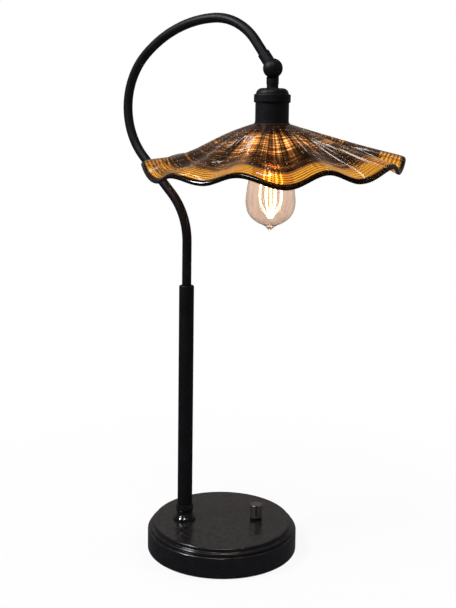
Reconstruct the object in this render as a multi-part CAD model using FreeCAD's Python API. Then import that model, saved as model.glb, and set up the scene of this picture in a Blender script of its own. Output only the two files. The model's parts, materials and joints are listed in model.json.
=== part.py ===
import FreeCAD, Part
import math
import os

# Art glass table lamp: a round moulded base, an off-centre pole, an S-bent arm tube that turns
# in the pole, a ball knuckle that tilts the head, a wavy glass shade and a pointed lamp bulb.
# Millimetres, +Z up. The origin is the centre of the face that the base rests on, +X runs from
# the pole to the dimmer knob, and -Y is the side that faces the viewer.

V = FreeCAD.Vector
ORIGIN = V(0, 0, 0)
UP = V(0, 0, 1)
ALONG_X = V(1, 0, 0)
ALONG_Y = V(0, 1, 0)

# Base
BASE_R = 101.0
BASE_H = 37.0
SHELL_T = 2.5
SHELL_RIM_Z = 1.0
PAD_R = 96.5
PAD_T = 2.0
PLATE_R = 98.2
PLATE_T = 2.0
WEIGHT_R = 88.0
WEIGHT_T = 16.0
NIPPLE_SEAT_Z = 22.0
POLE_X = -51.0
KNOB_X = 46.5
PLATE_SCREW_RING_R = 72.0
PLATE_SCREW_COUNT = 3
M3_R = 1.5
M4_R = 2.0
M10_R = 5.0
M10_BORE_R = 3.5
CORD_BORE_R = 3.6
CORD_Z = 13.0
CHANNEL_W = 10.0
CHANNEL_H = 7.0
CHANNEL_LEAD_Z = 7.0
NUT_T = 5.3
NIPPLE_WASHER_T = 1.5
SCREW_SLOT_W = 0.6

# Pole
POLE_R = 10.0
POLE_WALL = 1.5
POLE_FOOT_SEAT_Z = 48.0
POLE_TOP_Z = 359.2
BUSH_LENGTH = 41.2
BUSH_FLANGE_T = 2.0
RUNNING_GAP = 0.05
BODY_GAP = 0.3
COLLAR_LOW_Z = 302.5
COLLAR_TOP_Z = 316.5
COLLAR_SCREW_Z = 312.5

# Arm: straight runs and bends in one upright plane, a positive angle bends away from the head
TUBE_R = 6.25
TUBE_WALL = 1.2
TUBE_FOOT_Z = 300.0
ARM_START_Z = 352.0
ARM_PATH = [
    ("run", 66.0),
    ("bend", 88.0, 46.0),
    ("run", 67.0),
    ("bend", 94.0, -94.0),
    ("bend", 170.0, -42.0),
    ("bend", 80.0, -53.0),
    ("run", 42.0),
]
ARM_SWING_DEG = 35.0
STOP_GROOVE_DEG = 300.0
STOP_Z = 306.5
LEAD_R = 2.0
LEAD_BREAK = 1.5

# Knuckle, measured from the centre of its ball
BALL_R = 12.2
HALF_GAP = 0.8
SHANK_R = 7.65
SHANK_CLEAR_R = 12.7
ARM_SHANK_REACH = 23.0
TUBE_STOP = 14.5
STEM_SHANK_REACH = 19.5
KNUCKLE_SCREW_R = 2.0
KNUCKLE_HEAD_R = 3.8
SHANK_SCREW_REACH = 19.0

# Head, heights measured from the centre of the ball
COUPLER_R = 7.15
CAP_TOP = -24.2
CAP_DOME_R = 20.3
RING_TOP = -31.3
RING_LOW = -41.9
RING_R = 22.7
CUP_R = 20.8
CUP_LOW = -67.0
CAP_LOW = -38.0
SHEET_T = 1.2
GASKET_T = 1.2
SKIRT_R = 16.9
HOLDER_TOP = -45.0
HOLDER_LOW = -84.0
SOCKET_SHELL_R = 13.9
BULB_CAP_R = 13.1
BULB_CONTACT_TOP = -60.0

# Shade: rim points as (angle, drop, radius). The angle is from the viewer's side towards +X.
SHADE_HOLE_R = 17.8
SHADE_NECK_R = 24.0
SHADE_TOP = CUP_LOW - GASKET_T
SHADE_WALL = 3.4
SHADE_LIP_EXTRA = 2.4
SHADE_MEAN_DROP = 44.0
SHADE_WAVE_POWER = 1.4
SHADE_SAG = 4.2
SHADE_SAG_LEAN = 3.7
SHADE_SAG_POWER = 1.4
SHADE_LIP_POWER = 8
SHADE_RIM = [
    (-162, 52, 163), (-144, 66, 160), (-130, 43.5, 160.5), (-111, 51.5, 158.5),
    (-84.5, 48, 160.5), (-58.5, 65, 160.5), (-47, 57, 161.5), (-30, 63, 164.5),
    (-16, 53, 159), (3, 65, 164), (21.5, 49, 158), (33.5, 59, 167),
    (57.5, 44, 164.5), (68, 52.5, 161), (84, 37.5, 164), (107, 35, 159),
    (123, 48, 164), (142, 63, 161), (160, 51, 163), (179, 66, 160),
]
RING_POINTS = 100
SHADE_RINGS = [0.0, 0.12, 0.28, 0.44, 0.6, 0.74, 0.87, 1.0]

# Bulb outline below its cap as (radius, height from the ball's centre)
BULB_OUTLINE = [
    (11.8, -77.0), (12.2, -84.0), (16.0, -97.0), (23.4, -120.0), (28.6, -142.0), (30.6, -157.0),
    (31.0, -166.0), (28.6, -177.0), (23.3, -184.8), (15.4, -190.7), (9.4, -193.2),
]
BULB_TIP = -202.1
BULB_GLASS_T = 0.9
STRAND_COUNT = 8
STRAND_R = 0.8
HOOK_R = 0.3
STRAND_OUTLINE = [(8.0, -120.0), (14.5, -160.0), (2.6, -184.0)]

KNOB_R = 8.5
KNOB_LOW_Z = 40.5
KNOB_TOP_Z = 58.0
SHAFT_R = 3.0
KNOB_SCREW_Z = 48.0
POINTER_W = 2.0
POINTER_LOW_Z = 43.5


def turned(outline):
    """A solid turned about Z from (radius, height) points; four numbers are an arc's middle and end."""
    edges = []
    here = V(outline[0][0], 0, outline[0][1])
    first = here
    for step in outline[1:]:
        end = V(step[-2], 0, step[-1])
        if len(step) == 4:
            edges.append(Part.Arc(here, V(step[0], 0, step[1]), end).toShape())
        else:
            edges.append(Part.LineSegment(here, end).toShape())
        here = end
    edges.append(Part.LineSegment(here, first).toShape())
    return Part.Face(Part.Wire(edges)).revolve(ORIGIN, UP, 360)


def rod(radius, low, high, x=0.0, y=0.0):
    return Part.makeCylinder(radius, high - low, V(x, y, low), UP)


def ring(outer, inner, low, high, x=0.0, y=0.0):
    return rod(outer, low, high, x, y).cut(rod(inner, low, high, x, y))


def hexagon(across_flats, low, high, x=0.0, y=0.0):
    corner = across_flats / math.sqrt(3)
    points = []
    for i in range(7):
        angle = math.radians(60 * i)
        points.append(V(x + corner * math.cos(angle), y + corner * math.sin(angle), low))
    return Part.Face(Part.makePolygon(points)).extrude(V(0, 0, high - low))


def moved(shape, x=0.0, y=0.0, z=0.0):
    copy = shape.copy()
    copy.translate(V(x, y, z))
    return copy


def arm_walk(path, start_z, start_angle=90.0):
    """The arm's centre line as edges in the XZ plane, with its end point and end direction."""
    here = V(0, 0, start_z)
    heading = start_angle
    edges = []
    for step in path:
        if step[0] == "run":
            a = math.radians(heading)
            end = here + V(math.cos(a), 0, math.sin(a)) * step[1]
            edges.append(Part.LineSegment(here, end).toShape())
        else:
            radius, turn = step[1], step[2]
            side = math.copysign(90.0, turn)
            to_centre = math.radians(heading + side)
            centre = here + V(math.cos(to_centre), 0, math.sin(to_centre)) * radius
            points = []
            for share in (0.5, 1.0):
                a = math.radians(heading + turn * share - side)
                points.append(centre + V(math.cos(a), 0, math.sin(a)) * radius)
            edges.append(Part.Arc(here, points[0], points[1]).toShape())
            end = points[1]
            heading += turn
        here = end
    return edges, here, heading


BALL, ARM_END_DEG = arm_walk(ARM_PATH, ARM_START_Z)[1:]


def arm_route(low_z, short_by):
    """The arm path lengthened down to low_z and ended short_by before the ball's centre."""
    path = [("run", ARM_START_Z - low_z + ARM_PATH[0][1])]
    path += ARM_PATH[1:-1]
    path.append(("run", ARM_PATH[-1][1] - short_by))
    return arm_walk(path, low_z)[0]


def along(edges, radius):
    """A round bar along a smooth chain of runs and bends."""
    start = edges[0].firstVertex().Point
    direction = edges[0].tangentAt(edges[0].FirstParameter)
    circle = Part.Wire(Part.makeCircle(radius, start, direction))
    return Part.Wire(edges).makePipeShell([circle], True, False)


def in_arm_plane(shape):
    """From the arm's own upright plane to its place on the pole, swung towards the viewer."""
    copy = shape.copy()
    copy.rotate(ORIGIN, UP, -ARM_SWING_DEG)
    copy.translate(V(POLE_X, 0, 0))
    return copy


def on_ball(shape):
    """From the ball's centre to its place at the arm's end."""
    return in_arm_plane(moved(shape, BALL.x, 0, BALL.z))


def base_shell():
    inner = BASE_R - SHELL_T
    top = BASE_H - SHELL_T
    shell = turned([
        (0, BASE_H), (91.4, BASE_H), (92.8, 36.5, 93.4, 35.1), (93.4, 33.4),
        (93.7, 32.4, 94.7, 32.0), (96.0, 32.0), (97.3, 31.4, 97.8, 30.1),
        (97.6, 29.0, 97.0, 28.2), (98.4, 27.9), (100.3, 27.2, BASE_R, 25.4),
        (BASE_R, SHELL_RIM_Z), (inner, SHELL_RIM_Z), (inner, 25.0),
        (95.5, 25.0), (95.5, 29.6), (91.6, 29.6), (91.6, top), (0, top),
    ])
    shell = shell.cut(rod(M10_R + 0.2, 0, BASE_H + 1, POLE_X))
    shell = shell.cut(rod(4.6, 0, BASE_H + 1, KNOB_X))
    return shell.cut(Part.makeCylinder(5.5, 20, V(0, BASE_R - 10, CORD_Z), ALONG_Y))


def felt_pad():
    return rod(PAD_R, 0, PAD_T)


def plate_screw_places():
    places = []
    for i in range(PLATE_SCREW_COUNT):
        a = math.radians(90 + 360 * i / PLATE_SCREW_COUNT)
        places.append((PLATE_SCREW_RING_R * math.cos(a), PLATE_SCREW_RING_R * math.sin(a)))
    return places


def bottom_plate():
    plate = rod(PLATE_R, PAD_T, PAD_T + PLATE_T)
    for x, y in plate_screw_places():
        plate = plate.cut(rod(2.2, PAD_T, PAD_T + PLATE_T, x, y))
        plate = plate.cut(Part.makeCone(4.0, 2.2, 1.8, V(x, y, PAD_T), UP))
    return plate


def plate_screws():
    screws = []
    for x, y in plate_screw_places():
        head = Part.makeCone(3.85, M4_R, 1.75, V(x, y, PAD_T), UP)
        screw = head.fuse(rod(M4_R, PAD_T + 1.0, PAD_T + 10.0, x, y))
        slot = Part.makeBox(8, 0.9, 0.8, V(x - 4, y - 0.45, PAD_T))
        screws.append(screw.cut(slot))
    return Part.makeCompound(screws)


def base_weight():
    low = PAD_T + PLATE_T
    top = low + WEIGHT_T
    weight = rod(WEIGHT_R, low, top)
    weight = weight.fuse(rod(15, top, BASE_H - SHELL_T, POLE_X))
    weight = weight.cut(rod(12.5, low, NIPPLE_SEAT_Z, POLE_X))
    weight = weight.cut(rod(M10_R + 0.2, low, BASE_H, POLE_X))
    weight = weight.cut(rod(17, low, top, KNOB_X))
    weight = weight.cut(Part.makeBox(KNOB_X - POLE_X, CHANNEL_W, CHANNEL_H, V(POLE_X, -CHANNEL_W / 2, low)))
    weight = weight.cut(rod(14, low, top, 0, WEIGHT_R))
    for x, y in plate_screw_places():
        weight = weight.cut(rod(M4_R + RUNNING_GAP, low, low + 10, x, y))
    return weight


def cord_bushing():
    wall = BASE_R - SHELL_T
    bushing = Part.makeCylinder(5.4, SHELL_T + 5, V(0, wall - 2.5, CORD_Z), ALONG_Y)
    bushing = bushing.fuse(Part.makeCylinder(7.2, 2.2, V(0, BASE_R, CORD_Z), ALONG_Y))
    bushing = bushing.fuse(Part.makeCylinder(7.0, 2.2, V(0, wall - 2.7, CORD_Z), ALONG_Y))
    return bushing.cut(Part.makeCylinder(CORD_BORE_R, 20, V(0, wall - 5, CORD_Z), ALONG_Y))


def pole_nipple():
    return ring(M10_R, M10_BORE_R, NIPPLE_SEAT_Z - 7.6, 77, POLE_X)


def nipple_washer():
    return ring(11.5, M10_R + 0.1, NIPPLE_SEAT_Z - NIPPLE_WASHER_T, NIPPLE_SEAT_Z, POLE_X)


def nipple_nut():
    top = NIPPLE_SEAT_Z - NIPPLE_WASHER_T
    return hexagon(17, top - NUT_T, top, POLE_X).cut(rod(M10_R, top - NUT_T - 1, top + 1, POLE_X))


def pole_foot():
    foot = turned([
        (M10_R + 0.2, BASE_H), (14.4, BASE_H), (15.5, 38.8, 14.4, 40.7),
        (13.5, 41.6), (12.9, 43.0, 11.6, 44.0), (11.0, 46.5, 11.3, 49.4),
        (12.2, 52.0, 11.8, 54.6), (11.4, 55.4), (12.8, 56.9), (12.8, 57.6), (12.0, 58.2),
        (POLE_R + 0.05, 58.2), (POLE_R + 0.05, POLE_FOOT_SEAT_Z), (M10_R + 0.2, POLE_FOOT_SEAT_Z),
    ])
    return moved(foot, POLE_X)


def pole():
    inner = POLE_R - POLE_WALL
    tube = ring(POLE_R, inner, POLE_FOOT_SEAT_Z, POLE_TOP_Z - BUSH_FLANGE_T, POLE_X)
    hole = Part.makeCylinder(M3_R + RUNNING_GAP, 20, V(POLE_X, 0, STOP_Z), ALONG_Y)
    return tube.cut(hole)


def pole_plug():
    return ring(POLE_R - POLE_WALL, M10_R, POLE_FOOT_SEAT_Z, 66, POLE_X)


def pole_bush():
    seat = POLE_TOP_Z - BUSH_FLANGE_T
    bore = TUBE_R + RUNNING_GAP
    bush = turned([
        (bore, POLE_TOP_Z - BUSH_LENGTH), (POLE_R - POLE_WALL, POLE_TOP_Z - BUSH_LENGTH),
        (POLE_R - POLE_WALL, seat), (POLE_R, seat), (POLE_R, POLE_TOP_Z - 0.8),
        (POLE_R - 0.8, POLE_TOP_Z), (bore, POLE_TOP_Z),
    ])
    return moved(bush, POLE_X)


def swing_stop_screw():
    screw = Part.makeCylinder(M3_R, 2.6, V(POLE_X, 7.25, STOP_Z), ALONG_Y)
    return screw.cut(Part.makeBox(SCREW_SLOT_W, 1.0, 4.0, V(POLE_X - SCREW_SLOT_W / 2, 9.2, STOP_Z - 2.0)))


def switch_body():
    top = BASE_H - SHELL_T
    body = rod(12, top - 12, top - 0.5, KNOB_X)
    body = body.fuse(rod(10.5, top - 13.2, top - 12, KNOB_X))
    return body.cut(rod(SHAFT_R + RUNNING_GAP, top - 3, top, KNOB_X))


def switch_terminals():
    lugs = []
    for i in range(3):
        lug = Part.makeBox(10.0, 2.4, 0.8, V(KNOB_X - 17.9, -6.2 + 5.0 * i, 25.0))
        lug = lug.cut(rod(12, 24, 27, KNOB_X))
        lugs.append(lug.cut(rod(0.6, 24, 27, KNOB_X - 16.2, -5.0 + 5.0 * i)))
    return Part.makeCompound(lugs)


def switch_bushing():
    top = BASE_H - SHELL_T
    return ring(4.5, SHAFT_R + RUNNING_GAP, top - 0.5, BASE_H + 3.0, KNOB_X)


def switch_ring_nut():
    nut = turned([
        (4.5, BASE_H), (7.9, BASE_H), (7.9, BASE_H + 2.2), (7.3, BASE_H + 2.8), (4.5, BASE_H + 2.8),
    ])
    notch_r = 0.55
    for i in range(12):
        a = math.radians(30 * i)
        notch = rod(notch_r, BASE_H, BASE_H + 4, 7.9 * math.cos(a), 7.9 * math.sin(a))
        nut = nut.cut(notch)
    return moved(nut, KNOB_X)


def switch_shaft():
    shaft = rod(SHAFT_R, BASE_H - SHELL_T - 2.7, KNOB_TOP_Z - 3.5, KNOB_X)
    flat = Part.makeBox(8, 2, 14, V(KNOB_X - 4, SHAFT_R - 0.8, KNOB_TOP_Z - 13))
    return shaft.cut(flat)


def switch_knob():
    top = KNOB_TOP_Z
    knob = turned([
        (0, top), (KNOB_R - 1.0, top), (KNOB_R - 0.3, top - 0.3, KNOB_R, top - 1.0),
        (KNOB_R, KNOB_LOW_Z + 0.4), (KNOB_R - 0.4, KNOB_LOW_Z), (SHAFT_R, KNOB_LOW_Z),
        (SHAFT_R, top - 3.5), (0, top - 3.5),
    ])
    knob = knob.cut(Part.makeCylinder(M3_R, 10, V(0, 0, KNOB_SCREW_Z), ALONG_Y))
    corner = V(-POINTER_W / 2, -KNOB_R - 0.2, POINTER_LOW_Z)
    groove = Part.makeBox(POINTER_W, 1.0, top - POINTER_LOW_Z, corner)
    return moved(knob.cut(groove), KNOB_X)


def knob_pointer():
    corner = V(KNOB_X - POINTER_W / 2, 0.2 - KNOB_R, POINTER_LOW_Z)
    return Part.makeBox(POINTER_W, 0.6, KNOB_TOP_Z - POINTER_LOW_Z, corner)


def knob_set_screw():
    screw = Part.makeCylinder(M3_R, 4.6, V(KNOB_X, SHAFT_R - 0.8, KNOB_SCREW_Z), ALONG_Y)
    slot = V(KNOB_X - SCREW_SLOT_W / 2, 6.0, KNOB_SCREW_Z - 2.0)
    return screw.cut(Part.makeBox(SCREW_SLOT_W, 1.0, 4.0, slot))


def base_lead():
    """The lamp's inner lead from the dimmer along the channel and up inside the pole."""
    channel_z = CHANNEL_LEAD_Z
    rise = 8.0
    start = V(KNOB_X - 6, 0, BASE_H - SHELL_T - 13.2)
    a = V(start.x, 0, channel_z + rise)
    b = V(start.x - rise, 0, channel_z)
    bend_end = V(POLE_X + rise, 0, channel_z)
    up = V(POLE_X, 0, channel_z + rise)
    corner = rise * (1 - math.sqrt(0.5))
    edges = [
        Part.LineSegment(start, a).toShape(),
        Part.Arc(a, V(a.x - corner, 0, channel_z + corner), b).toShape(),
        Part.LineSegment(b, bend_end).toShape(),
        Part.Arc(bend_end, V(POLE_X + corner, 0, channel_z + corner), up).toShape(),
        Part.LineSegment(up, V(POLE_X, 0, TUBE_FOOT_Z - LEAD_BREAK)).toShape(),
    ]
    return along(edges, LEAD_R)


def arm_tube():
    route = arm_route(TUBE_FOOT_Z, TUBE_STOP)
    outer = along(route, TUBE_R)
    length = sum(edge.Length for edge in route)
    section = math.pi * TUBE_R * TUBE_R
    print("arm bar volume over section times length", round(outer.Volume / (section * length), 5))
    return in_arm_plane(outer.cut(along(route, TUBE_R - TUBE_WALL)))


def arm_lead():
    return in_arm_plane(along(arm_route(TUBE_FOOT_Z, TUBE_STOP - 1), LEAD_R))


def swing_collar():
    outer = POLE_R - POLE_WALL - 0.5
    collar = ring(outer, TUBE_R, COLLAR_LOW_Z, COLLAR_TOP_Z)
    groove = ring(outer + 1, TUBE_R + 0.6, STOP_Z - 1.9, STOP_Z + 1.9)
    land_deg = 360 - STOP_GROOVE_DEG
    land = Part.makeCylinder(outer + 2, 6, V(0, 0, STOP_Z - 3), UP, land_deg)
    # the land starts on +X, so this turn centres it opposite the stop screw
    land.rotate(ORIGIN, UP, -90 - land_deg / 2)
    collar = collar.cut(groove.cut(land))
    collar = collar.cut(Part.makeCylinder(M3_R, 10, V(0, 0, COLLAR_SCREW_Z), ALONG_X))
    return moved(collar, POLE_X)


def collar_set_screw():
    screw = Part.makeCylinder(M3_R, 1.6, V(TUBE_R + 0.05, 0, COLLAR_SCREW_Z), ALONG_X)
    return moved(screw, POLE_X)


def swing_washer():
    return ring(8.2, TUBE_R + 0.1, COLLAR_TOP_Z, POLE_TOP_Z - BUSH_LENGTH - BODY_GAP, POLE_X)


def ball_half(side):
    """Half of the hollow knuckle ball with its screw boss, on the -Y side or the +Y side."""
    ball = Part.makeSphere(BALL_R)
    size = 2 * BALL_R
    keep_y = HALF_GAP / 2 if side > 0 else -size - HALF_GAP / 2
    keep = Part.makeBox(2 * size, size, 2 * size, V(-size, keep_y, -size))
    hollow = Part.makeSphere(9.2).common(keep)
    boss_r = 5.6 if side > 0 else 4.2
    boss = Part.makeCylinder(boss_r, 2 * size, V(0, -size, 0), ALONG_Y)
    return ball.common(keep).cut(hollow.cut(boss)), keep


def shank(reach, direction):
    """A round shank from the ball's centre outwards."""
    return Part.makeCylinder(SHANK_R, reach, ORIGIN, direction)


def half_with_shank(side, reach, direction):
    """A ball half with its shank, relieved so that the other half's shank can pass."""
    half, keep = ball_half(side)
    hinge_zone = Part.makeCylinder(SHANK_CLEAR_R, 60, V(0, -30, 0), ALONG_Y)
    stalk = shank(reach, direction)
    stalk = stalk.cut(hinge_zone.cut(keep))
    stalk = stalk.cut(Part.makeSphere(BALL_R - 1.0))
    return half.fuse(stalk).removeSplitter()


def arm_direction():
    a = math.radians(ARM_END_DEG + 180)
    return V(math.cos(a), 0, math.sin(a))


def knuckle_arm_half():
    out = arm_direction()
    half = half_with_shank(-1, ARM_SHANK_REACH, out)
    half = half.cut(Part.makeCylinder(TUBE_R, 30, out * TUBE_STOP, out))
    half = half.cut(Part.makeCylinder(3.0, 12, out * 8.0, out))
    half = half.cut(Part.makeCylinder(KNUCKLE_SCREW_R, 10, V(0, -10, 0), ALONG_Y))
    half = half.cut(Part.makeCylinder(M3_R, 10, out * SHANK_SCREW_REACH, ALONG_Y))
    return on_ball(half)


def shank_set_screw():
    start = arm_direction() * SHANK_SCREW_REACH + V(0, TUBE_R + 0.05, 0)
    return on_ball(Part.makeCylinder(M3_R, 1.2, start, ALONG_Y))


def knuckle_screw():
    head = Part.makeCylinder(KNUCKLE_HEAD_R, 2.4, V(0, 8.6, 0), ALONG_Y)
    head = head.cut(Part.makeBox(10, 1.0, 1.0, V(-5, 10.2, -0.5)))
    return on_ball(head.fuse(Part.makeCylinder(KNUCKLE_SCREW_R, 18.1, V(0, -9.5, 0), ALONG_Y)))


def knuckle_washer():
    washer = Part.makeCylinder(KNUCKLE_HEAD_R, 0.8, V(0, 7.8, 0), ALONG_Y)
    return on_ball(washer.cut(Part.makeCylinder(KNUCKLE_SCREW_R, 2, V(0, 7, 0), ALONG_Y)))


def friction_disc():
    low = -HALF_GAP / 2
    disc = Part.makeCylinder(4.1, HALF_GAP - BODY_GAP, V(0, low, 0), ALONG_Y)
    return on_ball(disc.cut(Part.makeCylinder(KNUCKLE_SCREW_R, 2, V(0, low - 0.5, 0), ALONG_Y)))


def knuckle_socket_half():
    down = V(0, 0, -1)
    half = half_with_shank(1, STEM_SHANK_REACH, down)
    half = half.cut(rod(M10_R, -30, -SHANK_CLEAR_R))
    half = half.cut(rod(3.0, -20, -8.0))
    bore = KNUCKLE_SCREW_R + RUNNING_GAP
    half = half.cut(Part.makeCylinder(bore, 20, V(0, -1, 0), ALONG_Y))
    half = half.cut(Part.makeCylinder(KNUCKLE_HEAD_R + BODY_GAP, 20, V(0, 7.5, 0), ALONG_Y))
    return on_ball(half)


def stem_coupler():
    coupler = turned([
        (M10_R, -STEM_SHANK_REACH), (COUPLER_R, -STEM_SHANK_REACH), (COUPLER_R, -23.4),
        (COUPLER_R + 0.8, CAP_TOP), (M10_R, CAP_TOP),
    ])
    return on_ball(coupler)


def socket_nipple():
    return on_ball(ring(M10_R, M10_BORE_R, -42.0, -SHANK_CLEAR_R - 0.3))


def socket_cap():
    inside = CAP_DOME_R - SHEET_T
    cap = turned([
        (M10_R, CAP_TOP), (12.2, CAP_TOP), (18.0, -26.3, CAP_DOME_R, RING_TOP),
        (CAP_DOME_R, CAP_LOW), (inside, CAP_LOW), (inside, RING_TOP),
        (17.1, -27.2, 12.0, CAP_TOP - SHEET_T), (M10_R, CAP_TOP - SHEET_T),
    ])
    return on_ball(cap)


def cap_nut():
    low = CAP_TOP - SHEET_T - 4.6
    return on_ball(hexagon(14, low, low + 4.6).cut(rod(M10_R, low - 1, low + 6)))


def cap_ring():
    band = turned([
        (CAP_DOME_R, RING_TOP), (20.9, RING_TOP), (22.2, -31.9, RING_R, -33.4),
        (RING_R, -40.4), (22.3, -41.5, 21.3, RING_LOW), (CUP_R, RING_LOW),
        (CUP_R, CAP_LOW), (CAP_DOME_R, CAP_LOW),
    ])
    return on_ball(band)


def socket_cup():
    inside = CUP_R - SHEET_T
    cup = turned([
        (CUP_R, CAP_LOW), (CUP_R, -64.6), (CUP_R + 0.35, -65.0), (CUP_R + 0.35, CUP_LOW),
        (SKIRT_R + 0.1, CUP_LOW), (SKIRT_R + 0.1, CUP_LOW + 1.4), (inside, CUP_LOW + 1.4),
        (inside, CAP_LOW),
    ])
    return on_ball(cup)


def lamp_holder():
    """The insulating socket body with a collar for the nipple and a skirt for the shade ring."""
    bore = SOCKET_SHELL_R
    ceiling = BULB_CONTACT_TOP + 1.2
    holder = turned([
        (M10_R, -36.0), (7.6, -36.0), (7.6, HOLDER_TOP), (18.4, HOLDER_TOP),
        (19.2, -45.8), (19.2, -62.0), (SKIRT_R, -62.0), (SKIRT_R, HOLDER_LOW + 0.8),
        (SKIRT_R - 0.8, HOLDER_LOW), (bore, HOLDER_LOW), (bore, ceiling), (0, ceiling),
        (0, -52.0), (M10_R, -52.0),
    ])
    for side in (-1, 1):
        pocket = Part.makeBox(6, 8, 8, V(13.5 if side > 0 else -19.5, -4, -53.0))
        holder = holder.cut(pocket)
    return on_ball(holder)


def terminal_screws():
    screws = []
    for side in (-1, 1):
        head = Part.makeCylinder(2.6, 1.6, V(13.5 * side, 0, -49.0), V(side, 0, 0))
        slot = Part.makeBox(1.0, 0.7, 6, V(14.3 * side - (0 if side > 0 else 1.0), -0.35, -52))
        screws.append(head.cut(slot))
    return on_ball(Part.makeCompound(screws))


def socket_shell():
    """The thin rolled thread that takes the bulb, with its round ridges."""
    pitch = 3.6
    high = BULB_CONTACT_TOP - 2.0
    outline = [(SOCKET_SHELL_R - 0.5, high), (SOCKET_SHELL_R, high)]
    z = high
    while z - pitch > HOLDER_LOW + 1.5:
        outline.append((SOCKET_SHELL_R - 0.3, z - pitch / 2, SOCKET_SHELL_R, z - pitch))
        z -= pitch
    outline.append((SOCKET_SHELL_R - 0.5, z))
    return on_ball(turned(outline))


def socket_contact():
    disc = rod(3.5, BULB_CONTACT_TOP, BULB_CONTACT_TOP + 0.5)
    tongue = Part.makeBox(9.0, 5.0, 0.5, V(0, -2.5, BULB_CONTACT_TOP + 0.7))
    return on_ball(disc.fuse(rod(2.0, BULB_CONTACT_TOP, BULB_CONTACT_TOP + 0.8)).fuse(tongue))


def shade_gasket():
    return on_ball(ring(22.6, SHADE_HOLE_R, SHADE_TOP, CUP_LOW))


def shade_washer():
    low = SHADE_TOP - SHADE_WALL - 1.2
    return on_ball(ring(SHADE_NECK_R - 0.2, SKIRT_R + 0.3, low, low + 1.2))


def shade_ring():
    high = SHADE_TOP - SHADE_WALL - 1.2
    body = turned([
        (SKIRT_R, high), (25.0, high), (26.0, high - 1.0), (26.0, high - 2.2),
        (24.6, high - 3.0), (20.4, high - 3.4), (20.4, high - 8.6), (19.8, high - 9.2),
        (SKIRT_R, high - 9.2),
    ])
    for i in range(24):
        a = math.radians(15 * i)
        body = body.cut(rod(0.9, high - 9.5, high - 4.4, 20.9 * math.cos(a), 20.9 * math.sin(a)))
    return on_ball(body)


def rim_at(angle):
    """Drop and radius of the rim at an angle, eased by a half cosine between the rim points."""
    count = len(SHADE_RIM)
    for i in range(count):
        a0, drop0, r0 = SHADE_RIM[i]
        a1, drop1, r1 = SHADE_RIM[(i + 1) % count]
        span = (a1 - a0) % 360
        step = (angle - a0) % 360
        if step < span:
            share = (1 - math.cos(math.pi * step / span)) / 2
            return drop0 + (drop1 - drop0) * share, r0 + (r1 - r0) * share


def shade_ring_curve(s, wall):
    """One closed ring of the shade at share s from neck to rim, on its upper or its lower face.

    The face falls evenly, sags between neck and rim, more on the left, and takes on the rim's wave.
    """
    points = []
    for i in range(RING_POINTS):
        angle = 360.0 * i / RING_POINTS
        drop, rim_r = rim_at(angle)
        r = SHADE_NECK_R + (rim_r - SHADE_NECK_R) * s
        a = math.radians(angle)
        sag = SHADE_SAG - SHADE_SAG_LEAN * math.sin(a)
        z = -SHADE_MEAN_DROP * s - sag * math.sin(math.pi * s ** SHADE_SAG_POWER) ** 2
        z -= (drop - SHADE_MEAN_DROP) * s ** SHADE_WAVE_POWER
        thick = SHADE_WALL + SHADE_LIP_EXTRA * s ** SHADE_LIP_POWER
        points.append(V(r * math.sin(a), -r * math.cos(a), z - thick * wall))
    curve = Part.BSplineCurve()
    curve.interpolate(Points=points, PeriodicFlag=True)
    return Part.Wire(curve.toShape())


def glass_shade():
    """The blown shade: a wavy upper face, a wavy lower face, the lip and the neck's hole."""
    upper = [shade_ring_curve(s, 0) for s in SHADE_RINGS]
    lower = [shade_ring_curve(s, 1) for s in SHADE_RINGS]
    faces = []
    faces += Part.makeLoft(upper, False, False).Faces
    faces += Part.makeLoft(lower, False, False).Faces
    faces += Part.makeLoft([upper[-1], lower[-1]], False, True).Faces
    for neck, z in ((upper[0], 0.0), (lower[0], -SHADE_WALL)):
        hole = Part.Wire(Part.makeCircle(SHADE_HOLE_R, V(0, 0, z), UP))
        faces.append(Part.makeFace([neck, hole], "Part::FaceMakerBullseye"))
    bore = Part.makeCylinder(SHADE_HOLE_R, SHADE_WALL, V(0, 0, -SHADE_WALL), UP)
    faces.append(bore.Faces[0])
    shell = Part.makeShell(faces)
    shell.sewShape()
    shade = Part.makeSolid(shell)
    if shade.Volume < 0:
        shade.reverse()
    place = in_arm_plane(Part.Vertex(BALL)).Point
    return moved(shade, place.x, place.y, place.z + SHADE_TOP)


def bulb_solid(inset, above=0.0):
    """The bulb's turned outline drawn in by inset, its flat top raised by above."""
    points = [V(r - inset, 0, z) for r, z in BULB_OUTLINE]
    top = points[0].z + above
    points[0].z = top
    points[-1].z += inset
    side = Part.BSplineCurve()
    side.interpolate(points)
    tip = V(0, 0, BULB_TIP + 3 * inset)
    nose = V(0.9, 0, BULB_TIP + 0.5 + 3 * inset)
    last = points[-1]
    waist = V(last.x * 0.45, 0, last.z * 0.45 + nose.z * 0.55 + 0.5)
    edges = [
        side.toShape(),
        Part.Arc(last, waist, nose).toShape(),
        Part.LineSegment(nose, tip).toShape(),
        Part.LineSegment(tip, V(0, 0, top)).toShape(),
        Part.LineSegment(V(0, 0, top), points[0]).toShape(),
    ]
    return Part.Face(Part.Wire(edges)).revolve(ORIGIN, UP, 360)


def bulb_glass():
    return on_ball(bulb_solid(0).cut(bulb_solid(BULB_GLASS_T, 1.0)))


def bulb_cap():
    pitch = 3.2
    z = -83.4
    outline = [(BULB_CAP_R - 0.5, z - 2.0), (BULB_CAP_R, z - 2.0), (BULB_CAP_R, z)]
    for _ in range(5):
        outline.append((BULB_CAP_R - 0.45, z + pitch / 2, BULB_CAP_R, z + pitch))
        z += pitch
    outline += [(9.5, z + 2.2), (8.9, z + 1.8), (BULB_CAP_R - 0.9, z - 0.4)]
    outline += [(BULB_CAP_R - 0.9, -82.6), (BULB_CAP_R - 0.5, -83.4)]
    return on_ball(turned(outline))


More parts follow.
